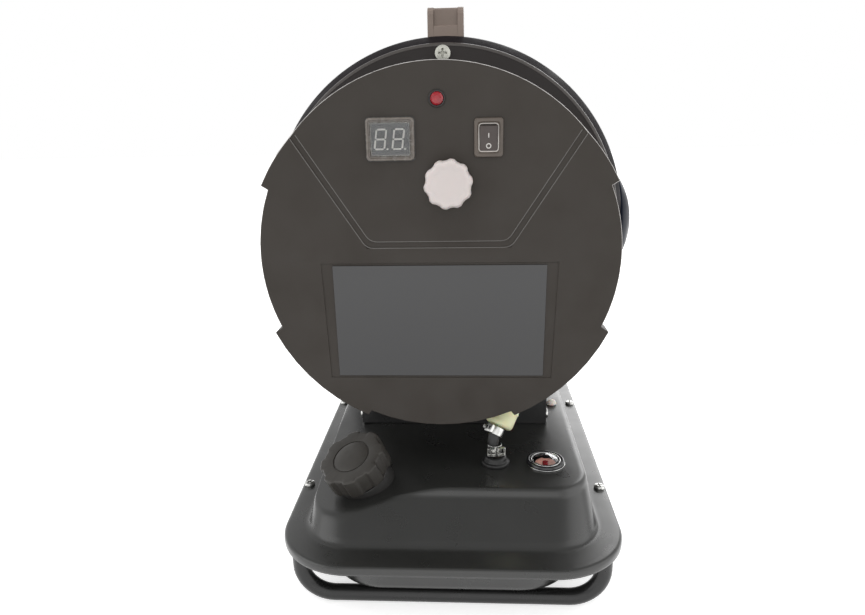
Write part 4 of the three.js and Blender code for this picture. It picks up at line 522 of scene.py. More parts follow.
FACET_NORMAL = Vector((-0.17822, -0.10708, 0.97815))
FACET_CREASE = Vector((-11.9, -135.8, PLATEAU_Z))
CREASE_BLEND = 2.5
NECK_AXIS = Vector(JOINTS["fuel_cap_turn"]["axis"])
NECK_LEAN = Vector((0, 0, 1)).rotation_difference(NECK_AXIS).to_matrix().to_4x4()
FILLER = Matrix.Translation(JOINTS["fuel_cap_turn"]["pos_m"]) @ NECK_LEAN
FILLER_HOLE = 19.4


def facet_height(x, y):
    """Height of the sloped facet's plane, which leaves the plateau at its crease."""
    fall = FACET_NORMAL.x * (x - FACET_CREASE.x) + FACET_NORMAL.y * (y - FACET_CREASE.y)
    return FACET_CREASE.z - fall / FACET_NORMAL.z


def softer_low(a, b, blend):
    """The lower of two heights, rounded where they meet."""
    near = max(blend - abs(a - b), 0) / blend
    return min(a, b) - near * near * blend / 4


def shell_height(x, y, height):
    """The plateau, its walls and the flange, sunk to the sloped facet under the filler."""
    if height <= FLANGE_Z:
        return height
    return max(softer_low(height, facet_height(x, y), CREASE_BLEND), FLANGE_Z)


def tank_upper_skin():
    """The plateau, its shoulder, the walls, the flange and its turned edge, with the filler's hole."""
    plateau = (200, 271, 26, PLATEAU_Z)
    wall_foot = (215.6, 336, 37.3, 52.6)
    flange = (246, 382, 52, FLANGE_Z)
    levels = levels_between((2, 60, 0.9, PLATEAU_Z), plateau, 58)
    levels += [plateau, (203, 274, 27, 78.8), (205.8, 276.8, 28.3, 78.1), (207.8, 278.9, 29.3, 76.7),
               (208.7, 280.6, 29.8, 75)]
    levels += levels_between((209, 282.4, 30, 73.4), wall_foot, 16)
    levels += [wall_foot, (216.4, 339.2, 37.8, 51), (217.8, 342.2, 38.7, 49.9),
               (220.2, 345.6, 40.2, 49.15), (223.4, 349.4, 42, FLANGE_Z)]
    levels += levels_between((226, 353, 43.5, FLANGE_Z), flange, 3)
    levels += [flange, (249, 385, 53.5, 48.8), (250.9, 386.9, 54.4, 48.1), (251.8, 387.8, 54.9, 46.9),
               (252, 388, 55, 45.4), (252, 388, 55, 44), (251.8, 387.8, 54.9, 42.6)]
    bm = pressed(levels, shell_height)
    into = FILLER.inverted()
    hole = [f for f in bm.faces if (into @ f.calc_center_median()).xy.length < FILLER_HOLE * MM]
    bmesh.ops.delete(bm, geom=hole, context="FACES")
    return bm


def tank_pan_skin():
    """The tank's bottom, its walls and the flange under the upper shell's."""
    bottom = (174, 334, 38, 14)
    wall_top = (199, 359, 45, 43)
    flange = (248.4, 384.4, 53.2, 47)
    levels = levels_between((2, 162, 0.9, 14), bottom, 14)
    levels += [bottom, (178, 338, 40, 14.4), (182, 342, 41.6, 15.6), (185, 345, 42.8, 17.6),
               (186.4, 346.6, 43.4, 20)]
    levels += levels_between((187.4, 347.6, 43.5, 22), wall_top, 6)
    levels += [wall_top, (200.2, 360.2, 45.4, 45), (202.6, 362.6, 46.4, 46.4), (206, 366, 47.6, 46.9)]
    levels += levels_between((210, 369, 48, 47), flange, 3)
    return pressed(levels + [flange])


FOOT_Y = 164
FOOT_HALF_SPAN = 110
FOOT_BEND = 24
FOOT_TUBE = 6
FOOT_TOP_Z = 43.6
STRAP_LOW_Z, STRAP_HIGH_Z = 42.5, 45.3
STRAPS = ((104.3, 119, 66, 150, 0), (104.6, 112, 140, 170, 0.2))
NUT_X, NUT_Y = 119.6, 85


def tank_foot(name, end):
    """A bent tube with a stepped strap and a nut at each side; end is -1 at the cover, 1 at the dish."""
    y = end * FOOT_Y
    bend_x, bend_z = FOOT_HALF_SPAN - FOOT_BEND, FOOT_BEND + FOOT_TUBE
    left = [(-FOOT_HALF_SPAN, y, FOOT_TOP_Z)] + arc((-bend_x, y, bend_z), FOOT_BEND, 180, 270, 12)
    right = arc((bend_x, y, bend_z), FOOT_BEND, 270, 360, 12) + [(FOOT_HALF_SPAN, y, FOOT_TOP_Z)]
    bm = swept(left + right, FOOT_TUBE, 28)
    for side in (-1, 1):
        for inner, outer, start, reach, thin in STRAPS:
            x0, x1 = sorted((side * inner, side * outer))
            y0, y1 = sorted((end * start, end * reach))
            merge(bm, block((x0, y0, STRAP_LOW_Z + thin), (x1, y1, STRAP_HIGH_Z - thin), 0.8))
        nut = turned([(0, -3, 0), (4, -3, 0.5), (4, 0.4, 0), (0, 0.4, 0)], 6)
        merge(bm, nut, upright(side * NUT_X, end * NUT_Y, STRAP_LOW_Z - 0.1))
    piece(name, bm, "frame_paint", stands_for=[name.replace("bent_", "")], crease=40)


piece("pressed_upper_shell", tank_upper_skin(), "tank_paint", stands_for=["tank_upper_shell"],
      crease=60, wall=1.4)
piece("pressed_lower_pan", tank_pan_skin(), "tank_paint", stands_for=["tank_lower_pan"],
      crease=60, wall=-1.4)
tank_foot("bent_foot_rear", -1)
tank_foot("bent_foot_front", 1)
for number in range(1, 5):
    turn = Matrix.Rotation(math.radians(25 + 37 * number), 4, "Z")
    node = f"tank_screw_{number}"
    piece(f"flange_screw_{number}", screw_head(8.5, 2.8), "zinc_steel", stands_for=[node],
          place=on_tank(node, FLANGE_Z + 0.25) @ turn)


# Filler

CAP_LOBES = 8
LOBE_DEPTH = 2


def notched_cap():
    """A deep cap with broad lobes and a domed button in a ring groove."""
    profile = [(22.4, 5.5, 0.3), (25.8, 5.5, 0.6), (26, 8, 0), (26, 22.3, 1.5), (14.9, 22.3, 0.25),
               (14.8, 21.4, 0.2), (14, 21.4, 0.2), (13.9, 22.2, 0.4), (8.4, 23.2, 2.5), (0.05, 23.6, 0),
               (0.05, 15.7, 0), (22.4, 15.7, 0.5)]
    return scalloped(turned(profile, CAP_LOBES * 30, closed=True), CAP_LOBES, LOBE_DEPTH,
                     22.6, 0.33, 0.72)


SEAL_RING = [(16.7, 13.9, 0.3), (19.4, 13.9, 0.3), (19.4, 15.3, 0.3), (16.7, 15.3, 0.3)]
piece("filler_cap", notched_cap(), "cap_plastic", "fuel_cap", ["fuel_cap"], FILLER, crease=42)
piece("cap_seal", turned(SEAL_RING, 96, True), "black_rubber", "fuel_cap_gasket",
      ["fuel_cap_gasket"], FILLER)
ring_piece("neck_of_filler",
           [(17.5, -16, 0.4), (21.3, -16, 0), (21.3, 2.3, 0.7), (20, 2.3, 0.5), (20, 8.3, 0),
            (20.7, 9, 0.2), (20.7, 9.8, 0.2), (20, 10.4, 0), (20, 12.3, 0.4), (17.5, 12.3, 0.4)],
           "black_plastic", ["filler_neck"], 96, place=FILLER)


# Fuel gauge

GAUGE = on_tank("gauge_body")
ring_piece("gauge_trim_ring", [(12.2, 0.35, 0), (15, 0.35, 0.2), (15, 2, 0.6), (14.2, 3.4, 0.5),
                               (12.9, 3.5, 0.4), (12.2, 2.5, 0.3)], "gauge_chrome", ["gauge_body"], 96,
           GLOSS_BLACK, GAUGE)
ring_piece("gauge_foot_line", [(14.6, 0.3, 0), (15.3, 0.3, 0.1), (15.3, 0.9, 0.25), (14.6, 0.9, 0)],
           "gauge_chrome", steps=96, place=GAUGE)
ring_piece("gauge_black_ring", [(9.8, -0.8, 0), (12.1, -0.8, 0), (12.1, 2.4, 0.3), (9.8, 2.2, 0.2)],
           "black_plastic", steps=96, material=GLOSS_BLACK, place=GAUGE)
ring_piece("gauge_inner_ring", [(10.6, 2.3, 0.1), (11.9, 2.3, 0.1), (11.8, 3.3, 0.4), (10.8, 3.4, 0.4)],
           "gauge_chrome", steps=96, place=GAUGE)
ring_piece("gauge_well", [(0.05, 0, 0), (9.6, 0, 0), (9.6, -0.8, 0), (0.05, -0.8, 0)], "black_plastic",
           steps=64, place=GAUGE)
ring_piece("gauge_dial", [(0.05, 0.1, 0), (7.8, 0.1, 0), (7.8, -0.3, 0), (0.05, -0.3, 0)], "red_plastic",
           steps=64, material=DIAL_FACE, place=GAUGE)
ring_piece("gauge_dome",
           [(0.02, 6.1, 0), (3, 5.95, 0.6), (6.5, 5.2, 1), (9.3, 3.9, 1), (10.5, 2.9, 0.2),
            (9.7, 2.9, 0.2), (8.8, 3.3, 0.6), (6.2, 4.5, 0.8), (3, 5.2, 0.5), (0.02, 5.3, 0)],
           "clear_plastic", ["gauge_lens"], 96, place=GAUGE)


# Fuel line

LEAN = Vector((math.tan(math.radians(28)), math.tan(math.radians(32)), 1)).normalized()
HOSE_FOOT = Vector((*middle_of("hose_grommet").xy, 86.6))
LINE_SHIFT = Vector((-2, 0, 4))
HOSE_BEND = HOSE_FOOT + Vector((0, 0, 11)) + LINE_SHIFT
HOSE_END = HOSE_BEND + LEAN * 9
FILTER_FOOT = HOSE_END + LEAN * 0.3
FILTER_REACH = 38
HOSE_FADE = 0.05
CLAMP_SEAT = pointing(*(HOSE_END - LEAN * 3.7), LEAN) @ Matrix.Rotation(math.radians(160), 4, "Z")


def hose_bend():
    """Points of the short hose: upright from the grommet, then leaning to the filter."""
    points = [HOSE_FOOT, HOSE_FOOT + Vector((-0.2, 0, 1.5))]
    for i in range(9):
        t = i / 8
        points.append(HOSE_BEND + Vector((0, 0, -5)) * (1 - t) ** 2 + LEAN * 5 * t ** 2)
    return [tuple(p) for p in points + [HOSE_END]]


def worm_clamp():
    """A slotted band with a worm housing and a screw head on one side."""
    bm = turned([(4.75, -3.3, 0.2), (5.9, -3.3, 0.3), (5.9, 3.3, 0.3), (4.75, 3.3, 0.2)], 72, True)
    merge(bm, block((-4.2, -8.3, -3.5), (4.2, -5.2, 3.5), 0.9, 4))
    head = turned([(0.05, 0, 0), (2.3, 0, 0.4), (2.3, 2.4, 0.4), (0.05, 2.4, 0)], 6, True)
    merge(bm, head, Matrix.Translation(Vector((-6.6, -6.8, 0)) * MM)
          @ Matrix.Rotation(math.radians(90), 4, "Y"))
    return bm


def band_slots():
    """Two black blocks on the worm clamp's housing: painted shade standing in for its two slots."""
    bm = block((-3, -8.5, -1.5), (-0.7, -7.9, 1.5), 0.25, 2)
    return merge(bm, block((0.7, -8.5, -1.5), (3, -7.9, 1.5), 0.25, 2))


def looped_clamp():
    """A plain band closed by two square loops of flat strip."""
    bm = turned([(4.75, -3.2, 0.2), (5.7, -3.2, 0.3), (5.7, 3.2, 0.3), (4.75, 3.2, 0.2)], 72, True)
    for side in (-1, 1):
        corners = [(-3, -2.4), (-2.4, -3), (2.4, -3), (3, -2.4), (3, 2.4), (2.4, 3), (-2.4, 3), (-3, 2.4)]
        loop = swept([(x, 0, z) for x, z in corners], 0.6, 8, True)
        bmesh.ops.scale(loop, vec=(1, 3.2, 1), verts=loop.verts)
        turn = Matrix.Rotation(math.radians(side * 14), 4, "Z")
        merge(bm, loop, Matrix.Translation(Vector((side * 3.6, -7.2, 0)) * MM) @ turn)
    return bm


ring_piece("stepped_grommet",
           [(3.6, -6, 0), (7, -6, 0), (7, 0.3, 0), (11, 0.3, 0.2), (11, 2.6, 0.8), (8.9, 3.4, 0.5),
            (8.3, 6.3, 0.6), (6.9, 7.3, 0.6), (3.6, 7.3, 0.3)], "black_rubber", ["hose_grommet"], 80,
           place=on_tank("hose_grommet"))
piece("lower_hose", swept(hose_bend(), 4.5, 32), "black_rubber", stands_for=["fuel_hose"])
piece("lower_clamp", looped_clamp(), "zinc_steel", stands_for=["hose_clamp_lower"],
      place=upright(HOSE_FOOT.x - 0.8, HOSE_FOOT.y, HOSE_FOOT.z + 6.3)
      @ Matrix.Rotation(math.radians(8), 4, "Z"))
piece("upper_clamp", worm_clamp(), "zinc_steel", stands_for=["hose_clamp_upper"], place=CLAMP_SEAT)
# Painted shade: black blocks for the dark of the clamp's slots.
piece("upper_clamp_slots", band_slots(), "black_rubber", place=CLAMP_SEAT)
ring_piece("inline_filter",
           [(2.3, -4.8, 0), (3.2, -4.8, 0.2), (3.2, 0.3, 0.3), (9.9, 0.8, 0.9), (11, 3, 0.9),
            (11, 13, 0.3), (11.4, 13.4, 0.2), (11.4, 14.6, 0.2), (11, 15, 0.3), (11, 27, 1),
            (6.2, 31, 0.8), (3.2, 32, 0.4), (3.2, 39.8, 0.3), (2.3, 39.8, 0)], "cream_plastic",
           ["fuel_filter"], 80, place=pointing(*FILTER_FOOT, LEAN))
ring_piece("plug_dome", [(0.02, 4.9, 0), (2.6, 4.2, 1), (4.3, 2.4, 0.8), (4.8, 0.5, 0.2), (4.6, 0.35, 0),
                         (0.02, 0.35, 0)], "white_plastic", ["blanking_plug"], 64,
           place=on_tank("blanking_plug"))


# Drum

# Painted shade: the back plate carries a darker copy of the cover's paint.
ring_piece("hood_back_plate", [(36.3, 138.3, 0), (151.3, 138.3, 0.4), (151.3, 139.8, 0.4),
                               (36.3, 139.8, 0)], "cover_paint", ["hood_rear_plate"],
           material=SHADED_PLATE_PAINT)
# Painted shade: the hood carries a darker copy of the cover's paint.
ring_piece("rolled_hood",
           [(138, 140.2, 0), (151.3, 140.2, 1.6), (160, 156.1, 3), (160, 256, 2.4), (153, 256, 1),
            (153, 254.6, 0), (158.6, 254.6, 1.2), (158.6, 156.8, 2), (149.9, 141.6, 0.5),
            (138, 141.6, 0)], "cover_paint", ["front_hood"], 192, SHADED_HOOD_PAINT)
# Painted highlight: the seam bead is coloured lighter than its neighbours for the light along the rim.
ring_piece("rolled_seam_highlight", [(150.2, 138.1, 0.3), (152.4, 138.4, 0.6), (153.3, 141, 0.6), (150.4, 141, 0)],
           "cover_paint", steps=192, material=SEAM_HIGHLIGHT_BROWN)
ring_piece("turned_reflector", [(60.3, 140.1, 0), (61.2, 140.1, 0), (158.3, 230, 3), (158.3, 238, 0.2),
                                (157.5, 238, 0.2), (157.5, 230.4, 3), (60.3, 141, 0)], "reflector_steel",
           ["reflector"], 192)
ring_piece("pressed_dish",
           [(58.5, 190.4, 0), (58.5, 200.2, 1.5), (84, 209.6, 1), (86, 211, 0.6), (85, 212.4, 0.6),
            (81.5, 213.4, 1), (73.6, 221.2, 4), (62, 225.4, 1.2), (58, 225.2, 1.2), (43, 229.3, 8),
            (24, 231.6, 1.2), (21, 231.2, 1.2), (0.05, 232.4, 0), (0.05, 230.8, 0), (43, 227.5, 8),
            (71.5, 219.6, 4), (82.8, 210.4, 0.6), (56.9, 202, 1), (56.9, 190.4, 0)], "heat_steel",
           ["radiant_dish"], 192)


def dish_vents():
    """The ring of eight vents in the dish's flank, as black discs: painted shade standing in for the
    openings.
    """
    bm = bmesh.new()
    for eighth in range(8):
        disc = turned([(0.02, 0.5, 0), (3.6, 0.5, 0.2), (3.9, -0.8, 0), (0.02, -0.8, 0)], 32, True)
        tilt = Matrix.Translation(Vector((68, 0, 223.2)) * MM) @ Matrix.Rotation(math.radians(22), 4, "Y")
        merge(bm, disc, Matrix.Rotation(math.radians(45 * eighth), 4, "Z") @ tilt)
    return bm


# Painted shade: black discs where the vents' openings would show dark.
piece("dish_vents", dish_vents(), "heat_steel", place=along_y(), material=FINISHES["black_plastic"])

DOME_RIM = 45
DOME_CURVE = 75
DOME_TOP = 175


def dome_profile():
    """A shallow spherical cap over the hood's side opening, with a pressed rim."""
    radii = [DOME_RIM * (1 - i / 14) for i in range(1, 14)]
    centre = DOME_TOP - DOME_CURVE
    rings = [(radius, centre + math.sqrt(DOME_CURVE ** 2 - radius ** 2), 0) for radius in radii]
    return [(0.05, 148, 0), (DOME_RIM, 148, 0), (DOME_RIM, 160, 0.8)] + rings + [(0.05, DOME_TOP, 0)]


piece("side_cap_dome", turned(dome_profile(), 96, True), "black_plastic", stands_for=["side_dome_cover"],
      place=pointing(DRUM_X, *middle_of("side_dome_cover").yz, (1, 0, 0)), material=DOME_PAINT, crease=50)

GUARD_STATION = 252.5
GUARD_WIRE = 1.5
GUARD_RINGS = ((156.2, 1.75), (114, GUARD_WIRE), (71.5, GUARD_WIRE), (29, GUARD_WIRE))


def guard():
    """Four wire rings on four spokes across the hood's mouth."""
    bm = bmesh.new()
    for radius, wire in GUARD_RINGS:
        path = arc((0, 0, GUARD_STATION), radius, 0, 360 - 360 / 144, 143, "xy")
        merge(bm, swept(path, wire, 12, True))
    for quarter in range(4):
        spoke = swept([(29, 0, GUARD_STATION), (156, 0, GUARD_STATION)], GUARD_WIRE, 12)
        merge(bm, spoke, Matrix.Rotation(math.radians(90 * quarter), 4, "Z"))
    return bm


piece("wire_guard", guard(), "gauge_chrome", stands_for=["front_guard"], place=along_y(), crease=50)


# Controls

def devices():
    """Lamp and thermostat knob on the cover."""
    lamp = along_y("lamp_bezel")
    ring_piece("lamp_ring", [(4.6, -1.5, 0.2), (5.2, -1.5, 0.3), (5.8, -0.35, 0.1), (4.6, -0.35, 0)],
               "black_plastic", ["lamp_bezel"], 64, place=lamp)
    piece("lamp_jewel",
          turned([(0.02, -3.3, 0), (1.8, -3.2, 0), (3.3, -2.6, 0), (4.2, -1.7, 0), (4.5, -0.6, 0),
                  (4.5, 0, 0), (3.3, 0.2, 0), (3.3, 2, 0), (0.02, 2, 0)], 14, True), "red_plastic",
          stands_for=["warning_lamp"], place=lamp, crease=5)
    knob = turned([(0.05, 1, 0), (15.6, 1, 0.4), (16.5, 2.6, 0.8), (16.5, 13.2, 0), (16, 15, 1.2),
                   (14.6, 16, 1), (12.8, 15.95, 0.6), (11.4, 15.7, 0.8), (0.05, 15.6, 0)], 10 * 20, True)
    piece("lobed_knob", scalloped(knob, 10, 1.15, 11, 0, 1), "knob_plastic", "thermostat_knob",
          ["thermostat_knob"], facing("thermostat_knob", 0)
          @ Matrix.Rotation(math.radians(9), 4, "Z"), crease=45)


def framed(rings):
    """A raised frame round a sunk floor, drawn through rounded (width, height, corner, rise) rectangles."""
    width, height, corner, rise = rings[0]
    bm = rounded_sheet(width, height, corner)
    bmesh.ops.translate(bm, vec=(0, 0, rise * MM), verts=bm.verts)
    floor = bm.faces[:]
    for number, (new_width, new_height, new_corner, rise) in enumerate(rings[1:]):
        drawn = bmesh.ops.extrude_face_region(bm, geom=floor)["geom"]
        if number and floor[0].is_valid:
            bmesh.ops.delete(bm, geom=floor, context="FACES_ONLY")
        floor = [g for g in drawn if isinstance(g, bmesh.types.BMFace)]
        for v in floor[0].verts:
            right, up = math.copysign(1, v.co.x), math.copysign(1, v.co.y)
            bend_x = (v.co.x / MM - right * (width / 2 - corner)) / corner
            bend_y = (v.co.y / MM - up * (height / 2 - corner)) / corner
            v.co.x = (right * (new_width / 2 - new_corner) + bend_x * new_corner) * MM
            v.co.y = (up * (new_height / 2 - new_corner) + bend_y * new_corner) * MM
            v.co.z = rise * MM
        width, height, corner = new_width, new_height, new_corner
    bmesh.ops.recalc_face_normals(bm, faces=bm.faces)
    return bm


def outlined(width, height, corner, wire):
    """A thin rounded bead round a rectangle, in the XY plane."""
    half, tall = width / 2 - corner, height / 2 - corner
    path = []
    for x, y, start in ((half, tall, 0), (-half, tall, 90), (-half, -tall, 180), (half, -tall, 270)):
        path += arc((x, y, 0), corner, start, start + 90, 6, "xy")
    return swept(path, wire, 8, True)


SEGMENTS = ((0, 1, 0.5), (0, 0, 0.5), (0, -1, 0.5), (-1, 0.5, 0), (1, 0.5, 0),
            (-1, -0.5, 0), (1, -0.5, 0))
DIGIT_CENTRES = (-6.5, 5.5)
DIGIT_HALF_WIDTH, DIGIT_HALF_HEIGHT = 3.3, 6.4
FLAT_BAR, TALL_BAR = (5.5, 1.2), (1.2, 5.6)
BAR_RISE = 0.25


def unlit_digits():
    """Two slanted figures of seven bars and their points, as a dark display shows them."""
    bm = bmesh.new()
    for centre in DIGIT_CENTRES:
        for sx, sz, flat in SEGMENTS:
            x, z = centre + sx * DIGIT_HALF_WIDTH, sz * DIGIT_HALF_HEIGHT
            wide, tall = FLAT_BAR if flat else TALL_BAR
            low, high = (x - wide / 2, z - tall / 2, 0), (x + wide / 2, z + tall / 2, BAR_RISE)
            merge(bm, block(low, high, 0.3, 2))
        merge(bm, block((centre + 4.8, -7, 0), (centre + 6, -5.8, BAR_RISE), 0.3, 2))
    slant = Matrix(((1, 0.14, 0, 0), (0, 1, 0, 0), (0, 0, 1, 0), (0, 0, 0, 1)))
    bmesh.ops.transform(bm, matrix=slant, verts=bm.verts)
    return bm


piece("display_frame",
      framed([(32.8, 28.2, 2.8, 0), (32.8, 28.2, 2.8, 1.4), (32.2, 27.6, 2.6, 2), (31.6, 27, 2.4, 2.1),
              (30, 25.4, 1.9, 2.1), (29.4, 24.8, 1.7, 1.8), (29, 24.4, 1.6, 1.2), (27.4, 22.8, 1, 1.1),
              (27, 22.4, 0.9, 0.4)]), "black_plastic", stands_for=["display_housing"],
      place=facing("display_housing", 0.3), material=SMOKY_BEZEL, crease=50)
# Painted shadow: a black sheet a little larger than the frame, for the dark gap round it.
piece("display_shadow_outline", thick_sheet(33.8, 29.2, 2.8, 0.3, 0.1), "black_plastic",
      place=facing("display_housing", 0.05))
piece("display_plate", thick_sheet(25.4, 20.4, 1, 0.3, 0.1), "black_plastic",
      stands_for=["display_board"], place=facing("display_housing", 0.7))
piece("display_digits", unlit_digits(), "white_plastic", place=facing("display_housing", 1.0),
      material=SEGMENT_GREY)
piece("display_pane", thick_sheet(26.8, 21.8, 1.2, 0.5, 0.2), "clear_plastic",
      stands_for=["display_window"], place=facing("display_housing", 1.5))
piece("switch_frame",
      framed([(17.6, 23.4, 1.6, -2.3), (17.6, 23.4, 1.6, 0), (19.4, 25.4, 2.3, 0), (19.4, 25.4, 2.3, 1.2),
              (18.8, 24.8, 2.1, 1.7), (18, 24, 1.9, 1.9), (15.6, 21, 2, 1.9), (14.8, 20.2, 2, 1.6),
              (14.2, 19.6, 2, 1.1), (13.2, 18.6, 1.7, 1), (13, 18.4, 1.6, -1.8)]), "black_plastic",
      stands_for=["rocker_frame"], place=facing("rocker_frame", 0.3), material=SWITCH_BROWN, crease=50)
# Painted highlight: a pale bead for the light on the rocker's rounded edge.
piece("switch_edge_highlight", outlined(13, 18, 2, 0.45), "white_plastic", place=facing("rocker_frame", 1.3),
      material=SEGMENT_GREY)

ROCKER_HALF_WIDTH, ROCKER_HALF_HEIGHT = 5.9, 8.2
ROCKER_MIDDLE_RISE, ROCKER_HOLLOW = 2.1, 0.8
ROCKER_PIVOT_DEPTH = 1
ROCKER_TILT = math.radians(JOINTS["power_switch"]["range_deg"][1] / 2)


def rocker():
    """A switch button with a shallow hollow across its face."""
    half = ROCKER_HALF_HEIGHT
    face = [(half * i / 6, ROCKER_MIDDLE_RISE + ROCKER_HOLLOW * (i / 6) ** 2) for i in range(-6, 7)]
    return slab([(-half, 0.2)] + face + [(half, 0.2)], -ROCKER_HALF_WIDTH, ROCKER_HALF_WIDTH)


ROCKER = facing("rocker_frame", -ROCKER_PIVOT_DEPTH) @ Matrix.Rotation(ROCKER_TILT, 4, "X")
ROCKER = ROCKER @ upright(0, 0, ROCKER_PIVOT_DEPTH)
soften(piece("rocker_button", rocker(), "black_plastic", "power_rocker", ["power_rocker"],
             ROCKER, ROCKER_BROWN), 0.4)
mark = block((-0.35, 0.4, 0), (0.35, 3.4, 0.3), 0.08, 2)
piece("rocker_mark_on", mark, "white_plastic", "power_rocker", place=ROCKER @ upright(0, 0, 2.05),
      material=MARK_WHITE)
ring = turned([(1.1, -0.1, 0), (1.75, -0.1, 0), (1.75, 0.15, 0.05), (1.1, 0.15, 0)], 48, True)
ring_place = ROCKER @ upright(0, -5, 2.4) @ Matrix.Rotation(math.radians(-6.8), 4, "X")
piece("rocker_mark_off", ring, "white_plastic", "power_rocker", place=ring_place, material=MARK_WHITE)
devices()
piece("hood_screw_head", screw_head(13, 3.4, 3.6), "zinc_steel", stands_for=["hood_screw"],
      place=facing("hood_screw", -137.9), material=SCREW_GREY)


FLARE_START, SHOULDER, WAIST, SKIRT = 50, 67.8, 114.7, 155.9
EDGE_BEAD, CREASE_BEAD = 0.28, 0.34


def cover_radius(angle):
    """The cover's outline: flared shoulders, cut-back sides and a low skirt, by degrees from the top."""
    if angle < SHOULDER:
        return 130 + 3 * min(max((angle - FLARE_START) / (SHOULDER - FLARE_START), 0), 1)
    if angle < WAIST:
        return 127.5
    return 134 if angle < SKIRT else 130


def cover_edge():
    """A painted highlight: a pale bead along the cover's top and sides, standing in for the line of light
    on its rounded edge.
    """
    angles = [3 * i for i in range(-38, 39)]
    steady = [a for a in angles if abs(abs(a) - SHOULDER) > 1.5]
    step = [side * (SHOULDER + way) for side in (-1, 1) for way in (-0.2, 0.2)]
    path = []
    for angle in sorted(steady + step):
        reach = cover_radius(abs(angle)) - 0.35
        path.append((reach * math.sin(math.radians(angle)), 0.25, reach * math.cos(math.radians(angle))))
    return swept(path, EDGE_BEAD, 8)


GROOVE_TOP, GROOVE_FOOT = Vector((98.2, 0.2, 82.9)), Vector((49.5, 0.2, 8.2))
GROOVE_HALF_WIDTH = 2.3
GROOVE_HALF_TURN = math.radians(28.5)


def crease_line(side):
    """A painted highlight along one of the two edges of the pressed groove that frames the controls: a pale
    bead for the light that edge catches.
    """
    down = (GROOVE_FOOT - GROOVE_TOP).normalized()
    outward = Vector((-down.z, 0, down.x))
    shift = side * GROOVE_HALF_WIDTH
    corner = GROOVE_FOOT + Vector((shift * math.tan(GROOVE_HALF_TURN), 0, -shift))
    start = GROOVE_TOP + outward * shift
    before, after = corner - down * 5, corner + Vector((-5, 0, 0))
    bend = [before.lerp(corner, t).lerp(corner.lerp(after, t), t) for t in (0, 0.25, 0.5, 0.75, 1)]
    right = [start] + bend
    left = [Vector((-p.x, p.y, p.z)) for p in reversed(right)]
    return swept([tuple(p) for p in right + left], CREASE_BEAD, 8)


ON_COVER = upright(DRUM_X, FACE_Y, DRUM_Z)
# Painted highlight: a pale bead for the light along the cover's edge.
piece("cover_edge_highlight", cover_edge(), "cover_paint", place=ON_COVER, material=EDGE_HIGHLIGHT_GREY)
# Painted highlights: pale beads for the light on the groove's edges.
for name, side in (("inner_crease_highlight", -1), ("outer_crease_highlight", 1)):
    piece(name, crease_line(side), "cover_paint", place=ON_COVER, material=CREASE_HIGHLIGHT_GREY)
for side, number in ((-1, 1), (1, 2)):
    node = f"pedestal_screw_{number}"
    seat = side * (box_of("pedestal")[1].x + 0.3)
    piece(f"pedestal_side_screw_{number}", screw_head(8.4, 2.4), "zinc_steel", stands_for=[node],
          place=pointing(seat, *middle_of(node).yz, (side, 0, 0)))


# What the solids already give, with eased edges

def grip():
    """An arched grip: two side rails and a lower panel between them that stops short of the feet."""
    under = [(235, 158.3), (235, 168), (231, 174), (227, 176), (179, 176), (175, 174),
             (171, 168), (171, 158.3)]
    rail = [(159, 158.3), (159, 177.5), (159.6, 180), (161.4, 182), (164.4, 183.3), (169, 184),
            (237, 184), (241.6, 183.3), (244.6, 182), (246.4, 180), (247, 177.5), (247, 158.3)]
    panel = [(159.2, 158.3), (159.2, 168.2), (160.7, 168.6), (160.7, 181.4), (162, 182.6), (244, 182.6),
             (245.3, 181.4), (245.3, 168.6), (246.8, 168.2), (246.8, 158.3)]
    bm = slab(panel + under, -10.4, 10.4)
    merge(bm, slab(rail + under, -15.5, -10.2))
    return merge(bm, slab(rail + under, 10.2, 15.5))


GRIP = upright(middle_of("carry_handle").x, FACE_Y, DRUM_Z)
soften(piece("moulded_grip", grip(), "handle_plastic", stands_for=["carry_handle"],
             place=GRIP, crease=12), 0.5, 40)


def after_filter(bm):
    """Draws the pump hose's lower end after the filter, which stands a little up and left."""
    outlet = (FILTER_FOOT + LEAN * FILTER_REACH) * MM
    for v in bm.verts:
        way = min((v.co - outlet).length / HOSE_FADE, 1)
        v.co += LINE_SHIFT * MM * (1 - way) ** 2 * (1 + 2 * way)


EASED = {"control_cover": (0.5, 30), "label_plate": (0.2, 30), "pedestal": (0.5, 35),
         "control_housing": (0.5, 35)}
EASED_ELSEWHERE = (0.3, 38)
for node in [node for node, made in frame["nodes"].items() if not made.hide_render]:
    rounding, crease = EASED.get(node, EASED_ELSEWHERE)
    eased(node, rounding, crease, after_filter if node == "pump_hose" else None)


# Stage

LIGHTS = (("overhead_softbox", (-0.2, -0.3, 1.9), 2.4, 22), ("left_softbox", (-1.7, -0.7, 1.0), 1.6, 8),
          ("right_softbox", (1.6, -0.5, 0.9), 1.6, 7), ("front_fill", (0.2, -2.3, 1.0), 2.2, 7),
          ("far_side_light", (0.5, 1.9, 1.0), 1.6, 18))
LIT_SPOT = Vector((0, 0, 0.22))
FLOOR_HALF_SIZE = 6
FLOOR_DROP = 0.0005


def seen_rays(nodes, links):
    """One for camera, glossy and transmission rays, and nothing for the rest."""
    rays = nodes.new("ShaderNodeLightPath")
    total = rays.outputs["Is Camera Ray"]
    for kind in ("Is Transmission Ray", "Is Glossy Ray"):
        either = nodes.new("ShaderNodeMath")
        either.operation = "MAXIMUM"
        links.new(total, either.inputs[0])
        links.new(rays.outputs[kind], either.inputs[1])
        total = either.outputs[0]
    return total


def stage_piece(name, bm):
    mesh = bpy.data.meshes.new(name)
    bm.to_mesh(mesh)
    bm.free()
    made = bpy.data.objects.new(name, mesh)
    bpy.context.collection.objects.link(made)
    return made


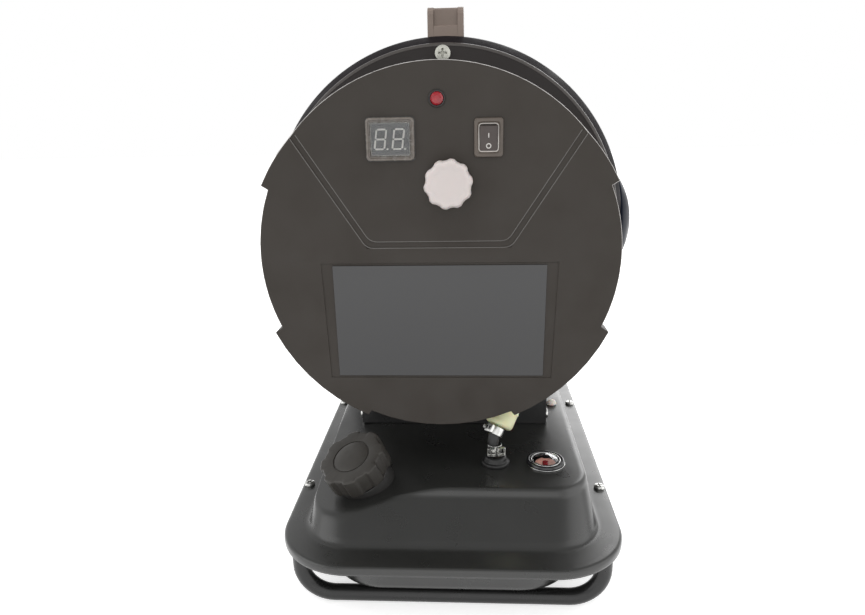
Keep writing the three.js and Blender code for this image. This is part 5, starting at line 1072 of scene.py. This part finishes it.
def studio():
    """A white floor and background, and wide soft lights all round."""
    scene = bpy.context.scene
    scene.view_settings.view_transform = "Standard"
    world = bpy.data.worlds.new("studio")
    scene.world = world
    world.use_nodes = True
    nodes, links = world.node_tree.nodes, world.node_tree.links
    level = nodes.new("ShaderNodeMapRange")
    level.inputs["To Min"].default_value = 0.55
    level.inputs["To Max"].default_value = 1.0
    links.new(seen_rays(nodes, links), level.inputs["Value"])
    height = nodes.new("ShaderNodeSeparateXYZ")
    links.new(nodes.new("ShaderNodeTexCoord").outputs["Generated"], height.inputs[0])
    ceiling = nodes.new("ShaderNodeMath")
    ceiling.operation = "MULTIPLY"
    links.new(spread(nodes, links, height.outputs["Z"], 0, 0.6, 0.45, 0.9), ceiling.inputs[0])
    links.new(nodes.new("ShaderNodeLightPath").outputs["Is Glossy Ray"], ceiling.inputs[1])
    strength = nodes.new("ShaderNodeMath")
    strength.operation = "SUBTRACT"
    links.new(level.outputs["Result"], strength.inputs[0])
    links.new(ceiling.outputs[0], strength.inputs[1])
    links.new(strength.outputs[0], nodes["Background"].inputs["Strength"])
    nodes["Background"].inputs["Color"].default_value = (1, 1, 1, 1)

    floor_mesh = bmesh.new()
    bmesh.ops.create_grid(floor_mesh, x_segments=8, y_segments=8, size=FLOOR_HALF_SIZE)
    floor = stage_piece("studio_floor", floor_mesh)
    floor.location.z = -FLOOR_DROP
    material, nodes, links = new_finish("pale_floor")
    shader = nodes["Principled BSDF"]
    shader.inputs["Base Color"].default_value = (0.8, 0.8, 0.8, 1)
    shader.inputs["Roughness"].default_value = 0.9
    away = nodes.new("ShaderNodeVectorMath")
    away.operation = "LENGTH"
    links.new(nodes.new("ShaderNodeTexCoord").outputs["Object"], away.inputs[0])
    level = spread(nodes, links, away.outputs["Value"], 0.62, 1.0, 0.35, 1.1)
    lift = nodes.new("ShaderNodeMath")
    lift.operation = "MULTIPLY"
    links.new(level, lift.inputs[0])
    links.new(seen_rays(nodes, links), lift.inputs[1])
    shader.inputs["Emission Color"].default_value = (1, 1, 1, 1)
    links.new(lift.outputs[0], shader.inputs["Emission Strength"])
    floor.data.materials.append(material)

    for name, spot, size, power in LIGHTS:
        light = bpy.data.lights.new(name, "AREA")
        light.size = size
        light.energy = power
        lamp = bpy.data.objects.new(name, light)
        lamp.location = spot
        lamp.rotation_euler = (LIT_SPOT - Vector(spot)).to_track_quat("-Z", "Y").to_euler()
        bpy.context.collection.objects.link(lamp)
        lamp.visible_glossy = name != "overhead_softbox"


photo_camera()
studio()
